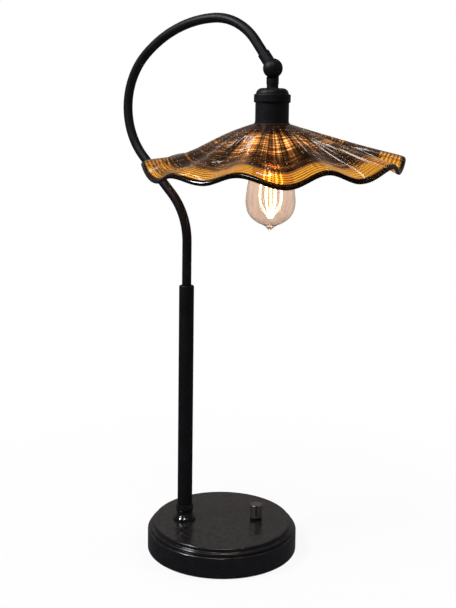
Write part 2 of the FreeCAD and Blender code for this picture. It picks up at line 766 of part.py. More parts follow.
def bulb_insulator():
    return on_ball(turned([(4.5, -61.4), (9.4, -65.1), (8.8, -65.7), (4.5, -64.0)]))


def bulb_contact():
    return on_ball(turned([
        (0, BULB_CONTACT_TOP), (3.0, BULB_CONTACT_TOP), (4.4, -61.4), (4.4, -62.4), (0, -62.4),
    ]))


def stem_solid():
    """The bulb's glass mount, a flare that narrows to a long rod, about the head's own axis."""
    return turned([
        (0, -88.0), (9.0, -84.0), (10.4, -84.0), (5.0, -95.0), (4.2, -112.0), (2.0, -116.0),
        (1.2, -122.0), (1.2, -183.0), (0, -183.0),
    ])


def bulb_stem():
    return on_ball(stem_solid())


def wire(a, b, radius):
    return Part.makeCylinder(radius, (b - a).Length, a, b - a)


def around(count, r, z):
    """Places evenly spaced on a circle, the first half a step off +X."""
    places = []
    for i in range(count):
        a = 2 * math.pi * (i + 0.5) / count
        places.append(V(r * math.cos(a), r * math.sin(a), z))
    return places


def bulb_supports():
    """The wires that carry the strands' upper ends, cut off at the face of the glass mount."""
    hooks = []
    stem = stem_solid()
    top_r, top_z = STRAND_OUTLINE[0]
    reach = top_r - STRAND_R - HOOK_R
    for place in around(STRAND_COUNT, reach, top_z):
        hooks.append(wire(V(0, 0, top_z), place, HOOK_R).cut(stem))
    return on_ball(Part.makeCompound(hooks))


def filament():
    strands = []
    for i in range(STRAND_COUNT):
        knots = [around(STRAND_COUNT, r, z)[i] for r, z in STRAND_OUTLINE]
        strand = wire(knots[0], knots[1], STRAND_R)
        strand = strand.fuse(wire(knots[1], knots[2], STRAND_R))
        strands.append(strand.fuse(Part.makeSphere(STRAND_R, knots[1])))
    return on_ball(Part.makeCompound(strands))


def socket_lead():
    return on_ball(rod(LEAD_R, -46.0, -SHANK_CLEAR_R - 1.0))


NODES = [
    felt_pad, bottom_plate, plate_screws, base_weight, base_shell, cord_bushing,
    pole_nipple, nipple_washer, nipple_nut, pole_foot, pole, pole_plug, pole_bush,
    swing_stop_screw, switch_body, switch_terminals, switch_bushing, switch_ring_nut,
    base_lead, arm_tube, arm_lead, swing_collar, collar_set_screw, swing_washer,
    knuckle_arm_half, shank_set_screw, knuckle_screw, knuckle_washer, friction_disc,
    knuckle_socket_half, stem_coupler, socket_nipple, cap_nut, socket_cap, cap_ring,
    socket_cup, lamp_holder, terminal_screws, socket_shell, socket_contact, socket_lead,
    shade_gasket, glass_shade, shade_washer, shade_ring, bulb_glass, bulb_cap,
    bulb_insulator, bulb_contact, bulb_stem, bulb_supports, filament,
    switch_knob, knob_pointer, switch_shaft, knob_set_screw,
]


def main():
    os.makedirs("parts", exist_ok=True)
    for node in NODES:
        shape = node()
        print(node.__name__, len(shape.Solids), shape.isValid(), round(shape.Volume, 1))
        shape.exportStep("parts/" + node.__name__ + ".step")
    ball = in_arm_plane(Part.Vertex(BALL)).Point
    print("ball centre", [round(c, 3) for c in ball], "arm end angle", ARM_END_DEG)


main()
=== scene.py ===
import json
import math

import bmesh
import bpy
import numpy as np
from mathutils import Matrix, Vector


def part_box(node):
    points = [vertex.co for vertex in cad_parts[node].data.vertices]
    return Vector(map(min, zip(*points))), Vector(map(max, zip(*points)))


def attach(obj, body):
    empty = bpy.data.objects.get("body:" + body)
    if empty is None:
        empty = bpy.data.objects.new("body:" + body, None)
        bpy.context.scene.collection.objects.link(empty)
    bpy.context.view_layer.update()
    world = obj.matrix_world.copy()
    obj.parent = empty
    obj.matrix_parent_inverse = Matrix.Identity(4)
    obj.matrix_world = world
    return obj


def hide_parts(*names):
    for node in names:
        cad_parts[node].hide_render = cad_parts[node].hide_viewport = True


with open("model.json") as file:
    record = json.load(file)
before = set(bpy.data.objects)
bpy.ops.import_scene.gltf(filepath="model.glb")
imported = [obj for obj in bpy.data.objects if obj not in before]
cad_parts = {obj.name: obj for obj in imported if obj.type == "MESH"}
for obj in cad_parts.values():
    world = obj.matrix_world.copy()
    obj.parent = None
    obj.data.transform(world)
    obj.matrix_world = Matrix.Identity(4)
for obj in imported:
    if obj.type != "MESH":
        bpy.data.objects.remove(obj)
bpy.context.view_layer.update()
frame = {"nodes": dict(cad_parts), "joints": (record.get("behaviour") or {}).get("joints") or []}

bl_info = {
    "name": "Art Glass Table Lamp",
    "version": (1, 0, 0),
    "blender": (4, 5, 0),
    "location": "View3D > Sidebar > Lamp",
    "description": "Finishes the lamp's metal, blows its shade and bulb, and sets it on a pale stage",
    "category": "Add Mesh",
}

# Lengths are in metres, in the lamp's own frame: +Z up, -Y towards the viewer.
MM = 0.001
JOINTS = {joint["name"]: joint for joint in frame["joints"]}
BALL = np.array(JOINTS["head_tilt"]["pos_m"])
SHADE_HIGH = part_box("glass_shade")[1]
BULB_LOW, BULB_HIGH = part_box("bulb_glass")
STEM_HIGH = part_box("bulb_stem")[1]
STEM_FLARE = 35 * MM

# Shade rim as (angle in degrees from the viewer's side towards +X, drop in mm, radius in mm)
SHADE_RIM = [
    (-162, 52, 163), (-144, 66, 160), (-130, 43.5, 160.5), (-111, 51.5, 158.5),
    (-84.5, 48, 160.5), (-58.5, 65, 160.5), (-47, 57, 161.5), (-30, 63, 164.5),
    (-16, 53, 159), (3, 65, 164), (21.5, 49, 158), (33.5, 59, 167),
    (57.5, 44, 164.5), (68, 52.5, 161), (84, 37.5, 164), (107, 35, 159),
    (123, 48, 164), (142, 63, 161), (160, 51, 163), (179, 66, 160),
]
SHADE_WAVE_POWER = 1.4
SHADE_SAG = 4.2 * MM
SHADE_SAG_LEAN = 3.7 * MM
SHADE_SAG_POWER = 1.4
SHADE_LIP_POWER = 8
SHADE_COLUMNS = 480
SHADE_UPPER_ROWS = 110
SHADE_LOWER_ROWS = 60
LIP_ROWS = 12

# Seed bubbles: their rows as (first reach, last reach, step), the share of places that hold one, their
# least and greatest size, how far each strays in turn and in reach, and how deep they lie in the wall
BUBBLE_ROWS = (1.12, 1.80, 0.031)
BUBBLES_KEPT = 0.62
BUBBLE_SIZES = (0.55, 1.15)
BUBBLE_STRAY_TURN = 0.0012
BUBBLE_STRAY_REACH = 0.006
BUBBLE_DEPTH = 0.02
BUBBLE_SEED = 41

# Bulb outline as (radius, height below the ball's centre) in mm, from its neck to its drawn-off tip
BULB_OUTLINE = [
    (11.8, -77.0), (12.2, -84.0), (16.0, -97.0), (23.4, -120.0), (28.6, -142.0), (30.6, -157.0),
    (31.0, -166.0), (28.6, -177.0), (23.3, -184.8), (15.4, -190.7), (9.4, -193.2), (5.0, -196.2),
    (2.0, -199.2), (0.0, -202.1),
]
BULB_LEANS_FROM = 9
BULB_SOLID_POINTS = 3
BULB_STEPS = 8
BULB_COLUMNS = 144

# The rounded floor inside the bulb: its points, and its lift at the edge and in the middle, in walls
BULB_FLOOR_POINTS = 6
BULB_FLOOR_EDGE = 0.6
BULB_FLOOR_MIDDLE = 0.4

# Points nearer than this at a turned shape's pole are merged, and shorter edges are taken out
POLE_MERGE = 0.004 * MM
EDGE_SHORTEST = 0.001 * MM

# One strand of the filament as (distance from the axis, height below the ball's centre) in mm
STRAND_OUTLINE = [(8.0, -120.0), (14.5, -160.0), (2.6, -184.0)]
STRAND_COUNT = 8
STRAND_STEPS = 10
STRAND_COLUMNS = 10
COIL_PITCH = 0.9 * MM


# Settings that a user would change

def length_setting(name, description, default, **limits):
    return bpy.props.FloatProperty(
        name=name, description=description, default=default, subtype="DISTANCE", unit="LENGTH",
        **limits)


def power_setting(name, description, default):
    return bpy.props.FloatProperty(
        name=name, description=description, default=default, min=0.0, subtype="POWER",
        unit="POWER")


def colour_setting(name, description, default):
    return bpy.props.FloatVectorProperty(
        name=name, description=description, default=default, subtype="COLOR")


class LampShadeSettings(bpy.types.PropertyGroup):
    """Sizes and colours of the blown shade."""

    hole_radius: length_setting(
        "Hole radius", "Radius of the hole that the holder passes through", 17.8 * MM, min=0.01)
    neck_radius: length_setting(
        "Neck radius", "Radius at which the flat neck turns into the bell", 24.0 * MM, min=0.01)
    mean_drop: length_setting(
        "Mean drop", "Fall of the upper face from neck to rim before the waves", 44.0 * MM)
    wall: length_setting("Wall", "Thickness of the glass", 3.4 * MM)
    lip_extra: length_setting("Lip extra", "Thickness that the lip adds to the wall", 2.4 * MM)
    amber: colour_setting("Amber", "Colour of the glass near the rim", (1.0, 0.445, 0.03))
    umber: colour_setting("Umber", "Colour of the glass near the neck", (0.38, 0.145, 0.03))
    thread: colour_setting("Thread", "Colour of the wound black threads", (0.016, 0.006, 0.004))
    thread_count: bpy.props.IntProperty(
        name="Threads", description="Turns of thread from neck to rim", default=31, min=4)
    bubble_radius: length_setting(
        "Bubble radius", "Radius of the seed bubbles on the glass", 0.50 * MM)
    bubble_columns: bpy.props.IntProperty(
        name="Bubble columns", description="Columns of seed bubbles round the shade", default=60, min=3)


class LampBulbSettings(bpy.types.PropertyGroup):
    """Sizes and colours of the lit bulb."""

    wall: length_setting("Wall", "Thickness of the bulb's glass", 0.9 * MM)
    tint: colour_setting(
        "Tint", "Colour that one wall of the bulb's glass gives to light", (0.80, 0.66, 0.57))
    tip_lean: length_setting("Tip lean", "Sideways lean of the drawn-off tip", 1.2 * MM)
    strand_radius: length_setting("Strand radius", "Radius of one glowing strand", 0.8 * MM)
    glow: colour_setting("Glow", "Colour of the filament's light", (1.0, 0.72, 0.42))
    glow_strength: bpy.props.FloatProperty(
        name="Glow strength", description="Strength of the filament's light", default=12.0, min=0.0)


class LampMetalSettings(bpy.types.PropertyGroup):
    """Colours of the painted and plated metal."""

    paint: colour_setting("Paint", "Darker tone of the satin paint", (0.0020, 0.0019, 0.0034))
    paint_warm: colour_setting(
        "Warm paint", "Lighter, browner tone of the satin paint", (0.0050, 0.0044, 0.0062))
    nickel: colour_setting("Nickel", "Colour of the dimmer knob", (0.34, 0.30, 0.28))


class LampStageSettings(bpy.types.PropertyGroup):
    """Light and background."""

    sky: bpy.props.FloatProperty(
        name="Sky", description="Strength of the even light from all round", default=0.55, min=0.0)
    key_power: power_setting("Key lamp", "Power of the soft lamp on the left", 13.0)
    fill_power: power_setting("Fill lamp", "Power of the soft lamp on the right", 6.0)
    top_power: power_setting("Top lamp", "Power of each small lamp behind and above", 0.30)
    edge_power: power_setting("Edge lamp", "Power of the narrow lamp in front and above", 3.0)


# Meshes

def smooth_through(points, per_span):
    """Points of a Catmull-Rom curve through the given ones: each span is a cubic whose end
    slopes are half the distance between the neighbours."""
    p = np.asarray(points, float)
    p = np.vstack([2 * p[0] - p[1], p, 2 * p[-1] - p[-2]])
    t = np.linspace(0, 1, per_span, endpoint=False)[None, :, None]
    a, b, c, d = (p[i:len(p) - 3 + i][:, None, :] for i in range(4))
    spans = 0.5 * (2 * b + (c - a) * t + (2 * a - 5 * b + 4 * c - d) * t ** 2
                   + (3 * b - a - 3 * c + d) * t ** 3)
    return np.vstack([spans.reshape(-1, p.shape[1]), p[-2]])


def shaded_smooth(mesh):
    mesh.polygons.foreach_set("use_smooth", np.ones(len(mesh.polygons), dtype=bool))
    mesh.update()
    return mesh


def mesh_from_grid(name, points, closed_rows, rise=None):
    """A mesh over a grid of points (rows, columns, 3) whose columns meet again. With closed_rows
    the last row joins the first. Faces are turned to point outwards by the sign of the volume.
    With rise, a value for each row, the UV map threads holds the share of the turn and the rise."""
    rows, columns = points.shape[:2]
    row = np.arange(rows if closed_rows else rows - 1)[:, None]
    column = np.arange(columns)[None, :]
    below = (row + 1) % rows
    beside = (column + 1) % columns
    corners = [
        row * columns + column, row * columns + beside,
        below * columns + beside, below * columns + column,
    ]
    faces = np.stack([np.broadcast_to(c, (len(row), columns)) for c in corners], axis=-1)
    faces = faces.reshape(-1, 4)
    flat = points.reshape(-1, 3)
    a, b, c, d = (flat[faces[:, i]] for i in range(4))
    volume = np.einsum("ij,ij->i", a, np.cross(b, c)) + np.einsum("ij,ij->i", a, np.cross(c, d))
    turn_over = volume.sum() < 0
    if turn_over:
        faces = faces[:, ::-1]
    mesh = bpy.data.meshes.new(name)
    mesh.from_pydata(flat.tolist(), [], faces.tolist())
    if rise is not None:
        along = np.broadcast_to(column / columns, (len(row), columns))
        step = 1.0 / columns
        low = np.broadcast_to(rise[row], along.shape)
        high = np.broadcast_to(rise[below], along.shape)
        loops = np.stack([
            np.stack([along, low], -1), np.stack([along + step, low], -1),
            np.stack([along + step, high], -1), np.stack([along, high], -1),
        ], axis=2).reshape(-1, 4, 2)
        if turn_over:
            loops = loops[:, ::-1]
        layer = mesh.uv_layers.new(name="threads")
        layer.data.foreach_set("uv", np.ascontiguousarray(loops, dtype=np.float32).ravel())
    return shaded_smooth(mesh)


def closed_poles(mesh):
    """Merges the points that a turned shape has on its own axis, so that its ends are closed."""
    work = bmesh.new()
    work.from_mesh(mesh)
    bmesh.ops.remove_doubles(work, verts=work.verts, dist=POLE_MERGE)
    bmesh.ops.dissolve_degenerate(work, edges=work.edges, dist=EDGE_SHORTEST)
    work.to_mesh(mesh)
    work.free()
    return mesh


def added(name, data):
    """A new object in the scene."""
    thing = bpy.data.objects.new(name, data)
    bpy.context.scene.collection.objects.link(thing)
    return thing


def piece(name, mesh, body, material, replaced=()):
    """Adds a piece to the scene, on a body of the lamp and in place of the nodes it stands for."""
    thing = added(name, mesh)
    mesh.materials.append(material)
    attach(thing, body)
    if replaced:
        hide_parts(*replaced)


def rim_wave(turn):
    """Drop and radius of the rim in metres for a turn from 0 to 1: between two rim points both
    follow half a cosine."""
    table = np.array(SHADE_RIM, float)
    table = np.vstack([table, table[0] + [360, 0, 0]])
    angle = table[0, 0] + (360 * np.asarray(turn) - table[0, 0]) % 360
    i = np.clip(np.searchsorted(table[:, 0], angle, side="right") - 1, 0, len(table) - 2)
    share = (angle - table[i, 0]) / (table[i + 1, 0] - table[i, 0])
    ease = (1 - np.cos(np.pi * share)) / 2
    both = table[i, 1:] + (table[i + 1, 1:] - table[i, 1:]) * ease[..., None]
    return both[..., 0] * MM, both[..., 1] * MM


def shade_points(settings, turn, reach, through):
    """Points of the shade. turn is the share of a full turn. reach runs from 0 at the hole to 1 at
    the neck and 2 at the rim. through runs from 0 on the upper face to 1 on the lower face. The
    height falls evenly with the reach, sags between neck and rim as the square of a sine, more on
    the left than on the right, and takes on the rim's own wave as the reach to a power."""
    drop, rim_radius = rim_wave(turn)
    neck = settings.neck_radius
    share = np.maximum(reach - 1, 0)
    radius = settings.hole_radius + (neck - settings.hole_radius) * np.minimum(reach, 1)
    radius = radius + (rim_radius - neck) * share
    angle = 2 * np.pi * turn
    sag = SHADE_SAG - SHADE_SAG_LEAN * np.sin(angle)
    height = -settings.mean_drop * share - sag * np.sin(np.pi * share ** SHADE_SAG_POWER) ** 2
    height = height - (drop - settings.mean_drop) * share ** SHADE_WAVE_POWER
    height = height - (settings.wall + settings.lip_extra * share ** SHADE_LIP_POWER) * through
    return np.stack([
        BALL[0] + radius * np.sin(angle), BALL[1] - radius * np.cos(angle), SHADE_HIGH.z + height,
    ], axis=-1)


def shade_section(settings):
    """The closed section of the shade as reach and through: over the upper face, round the lip
    along half a circle, and back along the lower face to the hole."""
    lip = (settings.wall + settings.lip_extra) / 2
    end = 2 - lip / (rim_wave(np.zeros(1))[1][0] - settings.neck_radius)
    half_turn = np.linspace(0, np.pi, LIP_ROWS + 2)[1:-1]
    reach = np.concatenate([
        np.linspace(0, end, SHADE_UPPER_ROWS), end + (2 - end) * np.sin(half_turn),
        np.linspace(end, 0, SHADE_LOWER_ROWS),
    ])
    through = np.concatenate([
        np.zeros(SHADE_UPPER_ROWS), (1 - np.cos(half_turn)) / 2, np.ones(SHADE_LOWER_ROWS),
    ])
    return reach, through


def shade_mesh(settings):
    """The shade: its closed section carried round a full turn, with the way from neck to rim as
    the rise of its UV map."""
    reach, through = shade_section(settings)
    turn = np.arange(SHADE_COLUMNS) / SHADE_COLUMNS
    points = shade_points(settings, turn[None, :], reach[:, None], through[:, None])
    return mesh_from_grid("glass_shade_blown", points, True, reach - 1)


def coarse_ball():
    """Points and triangles of a ball of radius 1: a pole, three rings of six points and a pole."""
    around = np.arange(6) * np.pi / 3
    levels = np.array([-0.6, 0.0, 0.6])
    ring = np.sqrt(1 - levels ** 2)[:, None]
    rings = [(ring * np.cos(around)).ravel(), (ring * np.sin(around)).ravel(), np.repeat(levels, 6)]
    points = np.vstack([[0, 0, -1], np.stack(rings, axis=-1), [0, 0, 1]])
    faces = []
    for i in range(6):
        j = (i + 1) % 6
        faces += [
            (0, 1 + j, 1 + i), (19, 13 + i, 13 + j), (1 + i, 1 + j, 7 + j), (1 + i, 7 + j, 7 + i),
            (7 + i, 7 + j, 13 + j), (7 + i, 13 + j, 13 + i),
        ]
    return points, np.array(faces)


def bubble_mesh(settings):
    """Seed bubbles: one coarse ball copied to every place of a grid of columns and rows on the
    shade, with some left out and each moved a little by a seeded draw."""
    draw = np.random.RandomState(BUBBLE_SEED)
    columns = settings.bubble_columns
    turn, reach = np.meshgrid(np.arange(columns) / columns, np.arange(*BUBBLE_ROWS))
    turn = turn.ravel() + draw.uniform(-BUBBLE_STRAY_TURN, BUBBLE_STRAY_TURN, turn.size)
    reach = reach.ravel() + draw.uniform(-BUBBLE_STRAY_REACH, BUBBLE_STRAY_REACH, reach.size)
    size = draw.uniform(*BUBBLE_SIZES, turn.size) * settings.bubble_radius
    kept = draw.uniform(0, 1, turn.size) < BUBBLES_KEPT
    centres = shade_points(settings, turn[kept], reach[kept], BUBBLE_DEPTH)
    ball, faces = coarse_ball()
    points = centres[:, None, :] + ball[None, :, :] * size[kept][:, None, None]
    faces = faces[None] + len(ball) * np.arange(len(centres))[:, None, None]
    mesh = bpy.data.meshes.new("shade_bubbles")
    mesh.from_pydata(points.reshape(-1, 3).tolist(), [], faces.reshape(-1, 3).tolist())
    return shaded_smooth(mesh)


def bulb_mesh(settings):
    """The bulb's glass: its outline turned about the axis, up the outside from the tip to the neck
    and down the inside. The tip leans to one side as the square of the way down it. The inside
    keeps one wall from the outline, ends in a rounded floor, and leaves the tip solid."""
    outer = smooth_through(np.array(BULB_OUTLINE) * MM, BULB_STEPS)[::-1]
    outer[:, 0] = np.maximum(outer[:, 0], 0)
    inner = smooth_through(np.array(BULB_OUTLINE[:-BULB_SOLID_POINTS]) * MM, BULB_STEPS)
    inner[:, 0] = np.maximum(inner[:, 0] - settings.wall, 0)
    floor_of_glass = np.array([[0.0, inner[-1, 1] + BULB_FLOOR_MIDDLE * settings.wall]])
    inner[-BULB_FLOOR_POINTS:, 1] += settings.wall * np.linspace(0, BULB_FLOOR_EDGE, BULB_FLOOR_POINTS)
    profile = np.vstack([outer, inner, floor_of_glass])
    angle = 2 * np.pi * np.arange(BULB_COLUMNS) / BULB_COLUMNS
    radius, height = profile[:, :1], profile[:, 1:]
    start = BULB_OUTLINE[BULB_LEANS_FROM][1] * MM
    end = BULB_OUTLINE[-1][1] * MM
    lean = settings.tip_lean * np.clip((start - height) / (start - end), 0, 1) ** 2
    points = np.stack([
        BALL[0] + radius * np.cos(angle) - lean, BALL[1] + radius * np.sin(angle),
        BALL[2] + np.broadcast_to(height, (len(profile), len(angle))),
    ], axis=-1)
    return closed_poles(mesh_from_grid("bulb_envelope", points, False))


def strand_mesh(settings):
    """Glowing strands: round tubes along rounded paths. Each ring lies square to its path, on two
    directions made by crossing the path's direction with the strand's own sideways direction."""
    path = smooth_through(np.array(STRAND_OUTLINE) * MM, STRAND_STEPS)
    slope = np.gradient(path, axis=0)
    slope /= np.linalg.norm(slope, axis=1, keepdims=True)
    around = 2 * np.pi * np.arange(STRAND_COLUMNS) / STRAND_COLUMNS
    up = np.array([0, 0, 1])
    vertices, faces = [], []
    for strand in range(STRAND_COUNT):
        bearing = 2 * np.pi * (strand + 0.5) / STRAND_COUNT
        out = np.array([np.cos(bearing), np.sin(bearing), 0])
        side = np.array([-np.sin(bearing), np.cos(bearing), 0])
        centre = BALL + path[:, :1] * out + path[:, 1:] * up
        across = slope[:, 1:] * out - slope[:, :1] * up
        ring = np.cos(around)[:, None] * across[:, None, :] + np.sin(around)[:, None] * side
        grid = centre[:, None, :] + settings.strand_radius * ring
        tube = mesh_from_grid("strand", grid, False)
        start = len(vertices)
        vertices += grid.reshape(-1, 3).tolist()
        faces += [[start + i for i in face.vertices] for face in tube.polygons]
        last = start + (len(path) - 1) * len(around)
        faces.append([start + i for i in range(len(around))])
        faces.append([last + i for i in reversed(range(len(around)))])
        bpy.data.meshes.remove(tube)
    mesh = bpy.data.meshes.new("filament_glowing")
    mesh.from_pydata(vertices, [], faces)
    work = bmesh.new()
    work.from_mesh(mesh)
    bmesh.ops.recalc_face_normals(work, faces=work.faces)
    work.to_mesh(mesh)
    work.free()
    return shaded_smooth(mesh)


# Materials

WHITE = (1.0, 1.0, 1.0, 1.0)
BLACK = (0.0, 0.0, 0.0, 1.0)
# Pale colour on what faces up: dust, and also a painted sheen that makes tops lighter
DUST_AND_SHEEN_COLOUR = (0.32, 0.29, 0.26, 1.0)


class Nodes:
    """Short calls that put nodes into one material or group and join them."""

    def __init__(self, tree):
        self.tree = tree

    def add(self, kind, inputs=None, **settings):
        node = self.tree.nodes.new(kind)
        for key, value in settings.items():
            setattr(node, key, value)
        for key, value in (inputs or {}).items():
            self.put(node.inputs[key], value)
        return node

    def put(self, socket, value):
        if isinstance(value, bpy.types.NodeSocket):
            self.tree.links.new(value, socket)
        else:
            socket.default_value = value

    def math(self, operation, *values, clamp=False):
        inputs = dict(enumerate(values))
        return self.add("ShaderNodeMath", inputs, operation=operation, use_clamp=clamp).outputs[0]

    def vector_math(self, operation, *vectors):
        """A number from an operation that measures, and else a vector."""
        node = self.add("ShaderNodeVectorMath", dict(enumerate(vectors)), operation=operation)
        return node.outputs["Value" if operation in ("DISTANCE", "LENGTH") else "Vector"]

    def product(self, first, *others):
        for other in others:
            first = self.math("MULTIPLY", first, other)
        return first

    def mix(self, factor, low, high):
        """low where the factor is 0, high where it is 1."""
        return self.add("ShaderNodeMix", {0: factor, 6: low, 7: high}, data_type="RGBA").outputs[2]

    def blend(self, factor, low, high):
        """The same for two shaders."""
        return self.add("ShaderNodeMixShader", {0: factor, 1: low, 2: high}).outputs[0]

    def span(self, value, from_low, from_high, to_low=0.0, to_high=1.0, smooth=False):
        """The value carried from one range to another and held at its ends."""
        node = self.add("ShaderNodeMapRange", {
            "Value": value, "From Min": from_low, "From Max": from_high,
            "To Min": to_low, "To Max": to_high,
        }, interpolation_type="SMOOTHSTEP" if smooth else "LINEAR")
        return node.outputs["Result"]

    def place(self):
        """Where the point is in the lamp's own frame."""
        return self.add("ShaderNodeTexCoord").outputs["Object"]

    def parts(self, vector):
        """The vector's X, Y and Z."""
        return self.add("ShaderNodeSeparateXYZ", {0: vector}).outputs

    def noise(self, vector, scale, detail=3.0, roughness=0.55):
        return self.add("ShaderNodeTexNoise", {
            "Vector": vector, "Scale": scale, "Detail": detail, "Roughness": roughness,
        }).outputs["Fac"]

    def stretched(self, vector, by):
        return self.vector_math("MULTIPLY", vector, by)


def opaque(colour):
    return (*colour, 1.0)


def started_group(name, inputs, outputs):
    """An empty shader node group. inputs gives each input's name and default, where three numbers
    make a vector, and outputs gives the names of the values that it puts out."""
    tree = bpy.data.node_groups.new(name, "ShaderNodeTree")
    for label, default in inputs.items():
        kind = "NodeSocketVector" if isinstance(default, tuple) else "NodeSocketFloat"
        tree.interface.new_socket(label, in_out="INPUT", socket_type=kind).default_value = default
    for label in outputs:
        tree.interface.new_socket(label, in_out="OUTPUT", socket_type="NodeSocketFloat")
    n = Nodes(tree)
    return tree, n, n.add("NodeGroupInput").outputs


def worked_surface():
    """A shared effect: fine grain, broad clouding, pale flecks and the height of the skin."""
    if "worked_surface" in bpy.data.node_groups:
        return bpy.data.node_groups["worked_surface"]
    tree, n, given = started_group("worked_surface", {
        "Grain Scale": 900.0, "Cloud Scale": 24.0, "Fleck Amount": 0.3, "Stretch": (1.0, 1.0, 1.0),
    }, ("Grain", "Cloud", "Fleck", "Height"))
    place = n.stretched(n.place(), given["Stretch"])
    grain = n.noise(place, given["Grain Scale"], 4.0, 0.6)
    cloud = n.span(n.noise(place, given["Cloud Scale"], 5.0, 0.6), 0.35, 0.65)
    speck = n.noise(place, n.math("MULTIPLY", given["Grain Scale"], 0.45), 1.0, 0.3)
    fleck = n.math("MULTIPLY", n.span(speck, 0.66, 0.76, smooth=True), given["Fleck Amount"])
    height = n.math("ADD", grain, n.math("MULTIPLY", cloud, 0.35))
    n.add("NodeGroupOutput", {"Grain": grain, "Cloud": cloud, "Fleck": fleck, "Height": height})
    return tree


def settled_dust():
    """A shared effect: a mask on what faces up, broken by noise, that stands both for dust and for a
    painted sheen that makes tops lighter.
    """
    if "settled_dust" in bpy.data.node_groups:
        return bpy.data.node_groups["settled_dust"]
    tree, n, given = started_group("settled_dust", {"Amount": 0.1}, ("Dust",))
    facing = n.parts(n.add("ShaderNodeNewGeometry").outputs["Normal"])
    up = n.span(facing["Z"], 0.45, 1.0, smooth=True)
    broken = n.span(n.noise(n.place(), 160.0, 5.0, 0.7), 0.42, 0.62)
    n.add("NodeGroupOutput", {"Dust": n.product(up, broken, given["Amount"])})
    return tree


def started(name):
    """An empty material with its output node."""
    material = bpy.data.materials.new(name)
    material.use_nodes = True
    material.node_tree.nodes.clear()
    n = Nodes(material.node_tree)
    return material, n, n.add("ShaderNodeOutputMaterial")


def bumped(n, height, strength, distance):
    """The normal of a skin with this height."""
    bump = n.add("ShaderNodeBump", {"Height": height, "Strength": strength, "Distance": distance})
    return bump.outputs["Normal"]


def finish(name, dark, light, rough, metallic=0.0, grain=900.0, cloud=24.0, stretch=(1.0, 1.0, 1.0),
           fleck=0.3, fleck_colour=(0.2, 0.2, 0.2), bump=0.15, depth=0.25 * MM, dust_and_sheen=0.06, plain=None):
    """An opaque finish: two tones mixed by clouding and grain, flecks, dust with a painted sheen on
    what faces up, a roughness that varies between two values, and a skin with height. plain holds
    sockets set to one value."""
    material, n, output = started(name)
    work = n.add("ShaderNodeGroup", {
        "Grain Scale": grain, "Cloud Scale": cloud, "Fleck Amount": fleck, "Stretch": stretch,
    }, node_tree=worked_surface()).outputs
    # Dust on what faces up, and a painted sheen that makes tops lighter
    dust_and_sheen_mask = n.add("ShaderNodeGroup", {"Amount": dust_and_sheen}, node_tree=settled_dust()).outputs["Dust"]
    clouding = n.math("MULTIPLY", work["Cloud"], 0.6)
    tone = n.math("MULTIPLY_ADD", work["Grain"], 0.5, clouding, clamp=True)
    colour = n.mix(tone, opaque(dark), opaque(light))
    colour = n.mix(work["Fleck"], colour, opaque(fleck_colour))
    colour = n.mix(dust_and_sheen_mask, colour, DUST_AND_SHEEN_COLOUR)
    roughness = n.span(tone, 0.1, 0.9, *rough)
    roughness = n.math("ADD", roughness, n.math("MULTIPLY", dust_and_sheen_mask, 0.6), clamp=True)
    shader = n.add("ShaderNodeBsdfPrincipled", {
        "Base Color": colour, "Roughness": roughness, "Metallic": metallic,
        "Normal": bumped(n, work["Height"], bump, depth), **(plain or {}),
    })
    n.put(output.inputs["Surface"], shader.outputs[0])
    return material


def satin_paint(settings):
    """The paint of the pole, the arm and the head."""
    return finish(
        "satin_paint", settings.paint, settings.paint_warm, rough=(0.40, 0.52), cloud=38.0,
        fleck=0.04, fleck_colour=(0.03, 0.028, 0.03), bump=0.07, depth=0.10 * MM, dust_and_sheen=0.012,
        plain={"Specular IOR Level": 0.32})


def glossy_paint(settings):
    """The turned foot's paint: the same tones under a clear coat."""
    coat = {"Specular IOR Level": 0.06, "Coat Weight": 1.0, "Coat Roughness": 0.09, "Coat IOR": 1.7}
    return finish(
        "glossy_paint", settings.paint, settings.paint_warm, rough=(0.36, 0.46), cloud=38.0,
        fleck=0.04, fleck_colour=(0.03, 0.028, 0.03), bump=0.05, depth=0.08 * MM, dust_and_sheen=0.008,
        plain=coat)


def dusty_paint(settings):
    """The base's paint: the same tones under a clear coat, with dust and a painted sheen on what faces
    up.
    """
    coat = {"Specular IOR Level": 0.06, "Coat Weight": 1.0, "Coat Roughness": 0.20, "Coat IOR": 1.75}
    return finish(
        "dusty_paint", settings.paint, settings.paint_warm, rough=(0.34, 0.46), grain=620.0,
        cloud=60.0, fleck=0.14, fleck_colour=(0.060, 0.054, 0.050), bump=0.15, depth=0.12 * MM,
        plain=coat)


def brushed_nickel(settings):
    """Plate drawn out into upright brush marks."""
    light = tuple(c * 1.5 for c in settings.nickel)
    return finish(
        "brushed_nickel", settings.nickel, light, rough=(0.30, 0.42), metallic=1.0, grain=700.0,
        cloud=60.0, stretch=(1.0, 1.0, 0.05), fleck=0.05, bump=0.08, depth=0.05 * MM, dust_and_sheen=0.02)


# The knob's pointer: a marker of the knob's turn, whose black stripe also stands for a painted dark
# reflection down the knob's front.
def pointer_paint():
    return finish(
        "pointer_paint", (0.004, 0.004, 0.004), (0.012, 0.011, 0.010), rough=(0.35, 0.5),
        grain=2500.0, fleck=0.05, bump=0.1, depth=0.05 * MM)


def wool_felt():
    return finish(
        "wool_felt", (0.010, 0.010, 0.010), (0.045, 0.043, 0.042), rough=(0.85, 1.0), grain=1700.0,
        cloud=90.0, stretch=(1.0, 0.55, 1.0), fleck=0.35, fleck_colour=(0.12, 0.12, 0.12),
        bump=0.9, depth=0.5 * MM, dust_and_sheen=0.0, plain={"Sheen Weight": 0.5, "Sheen Roughness": 0.6})


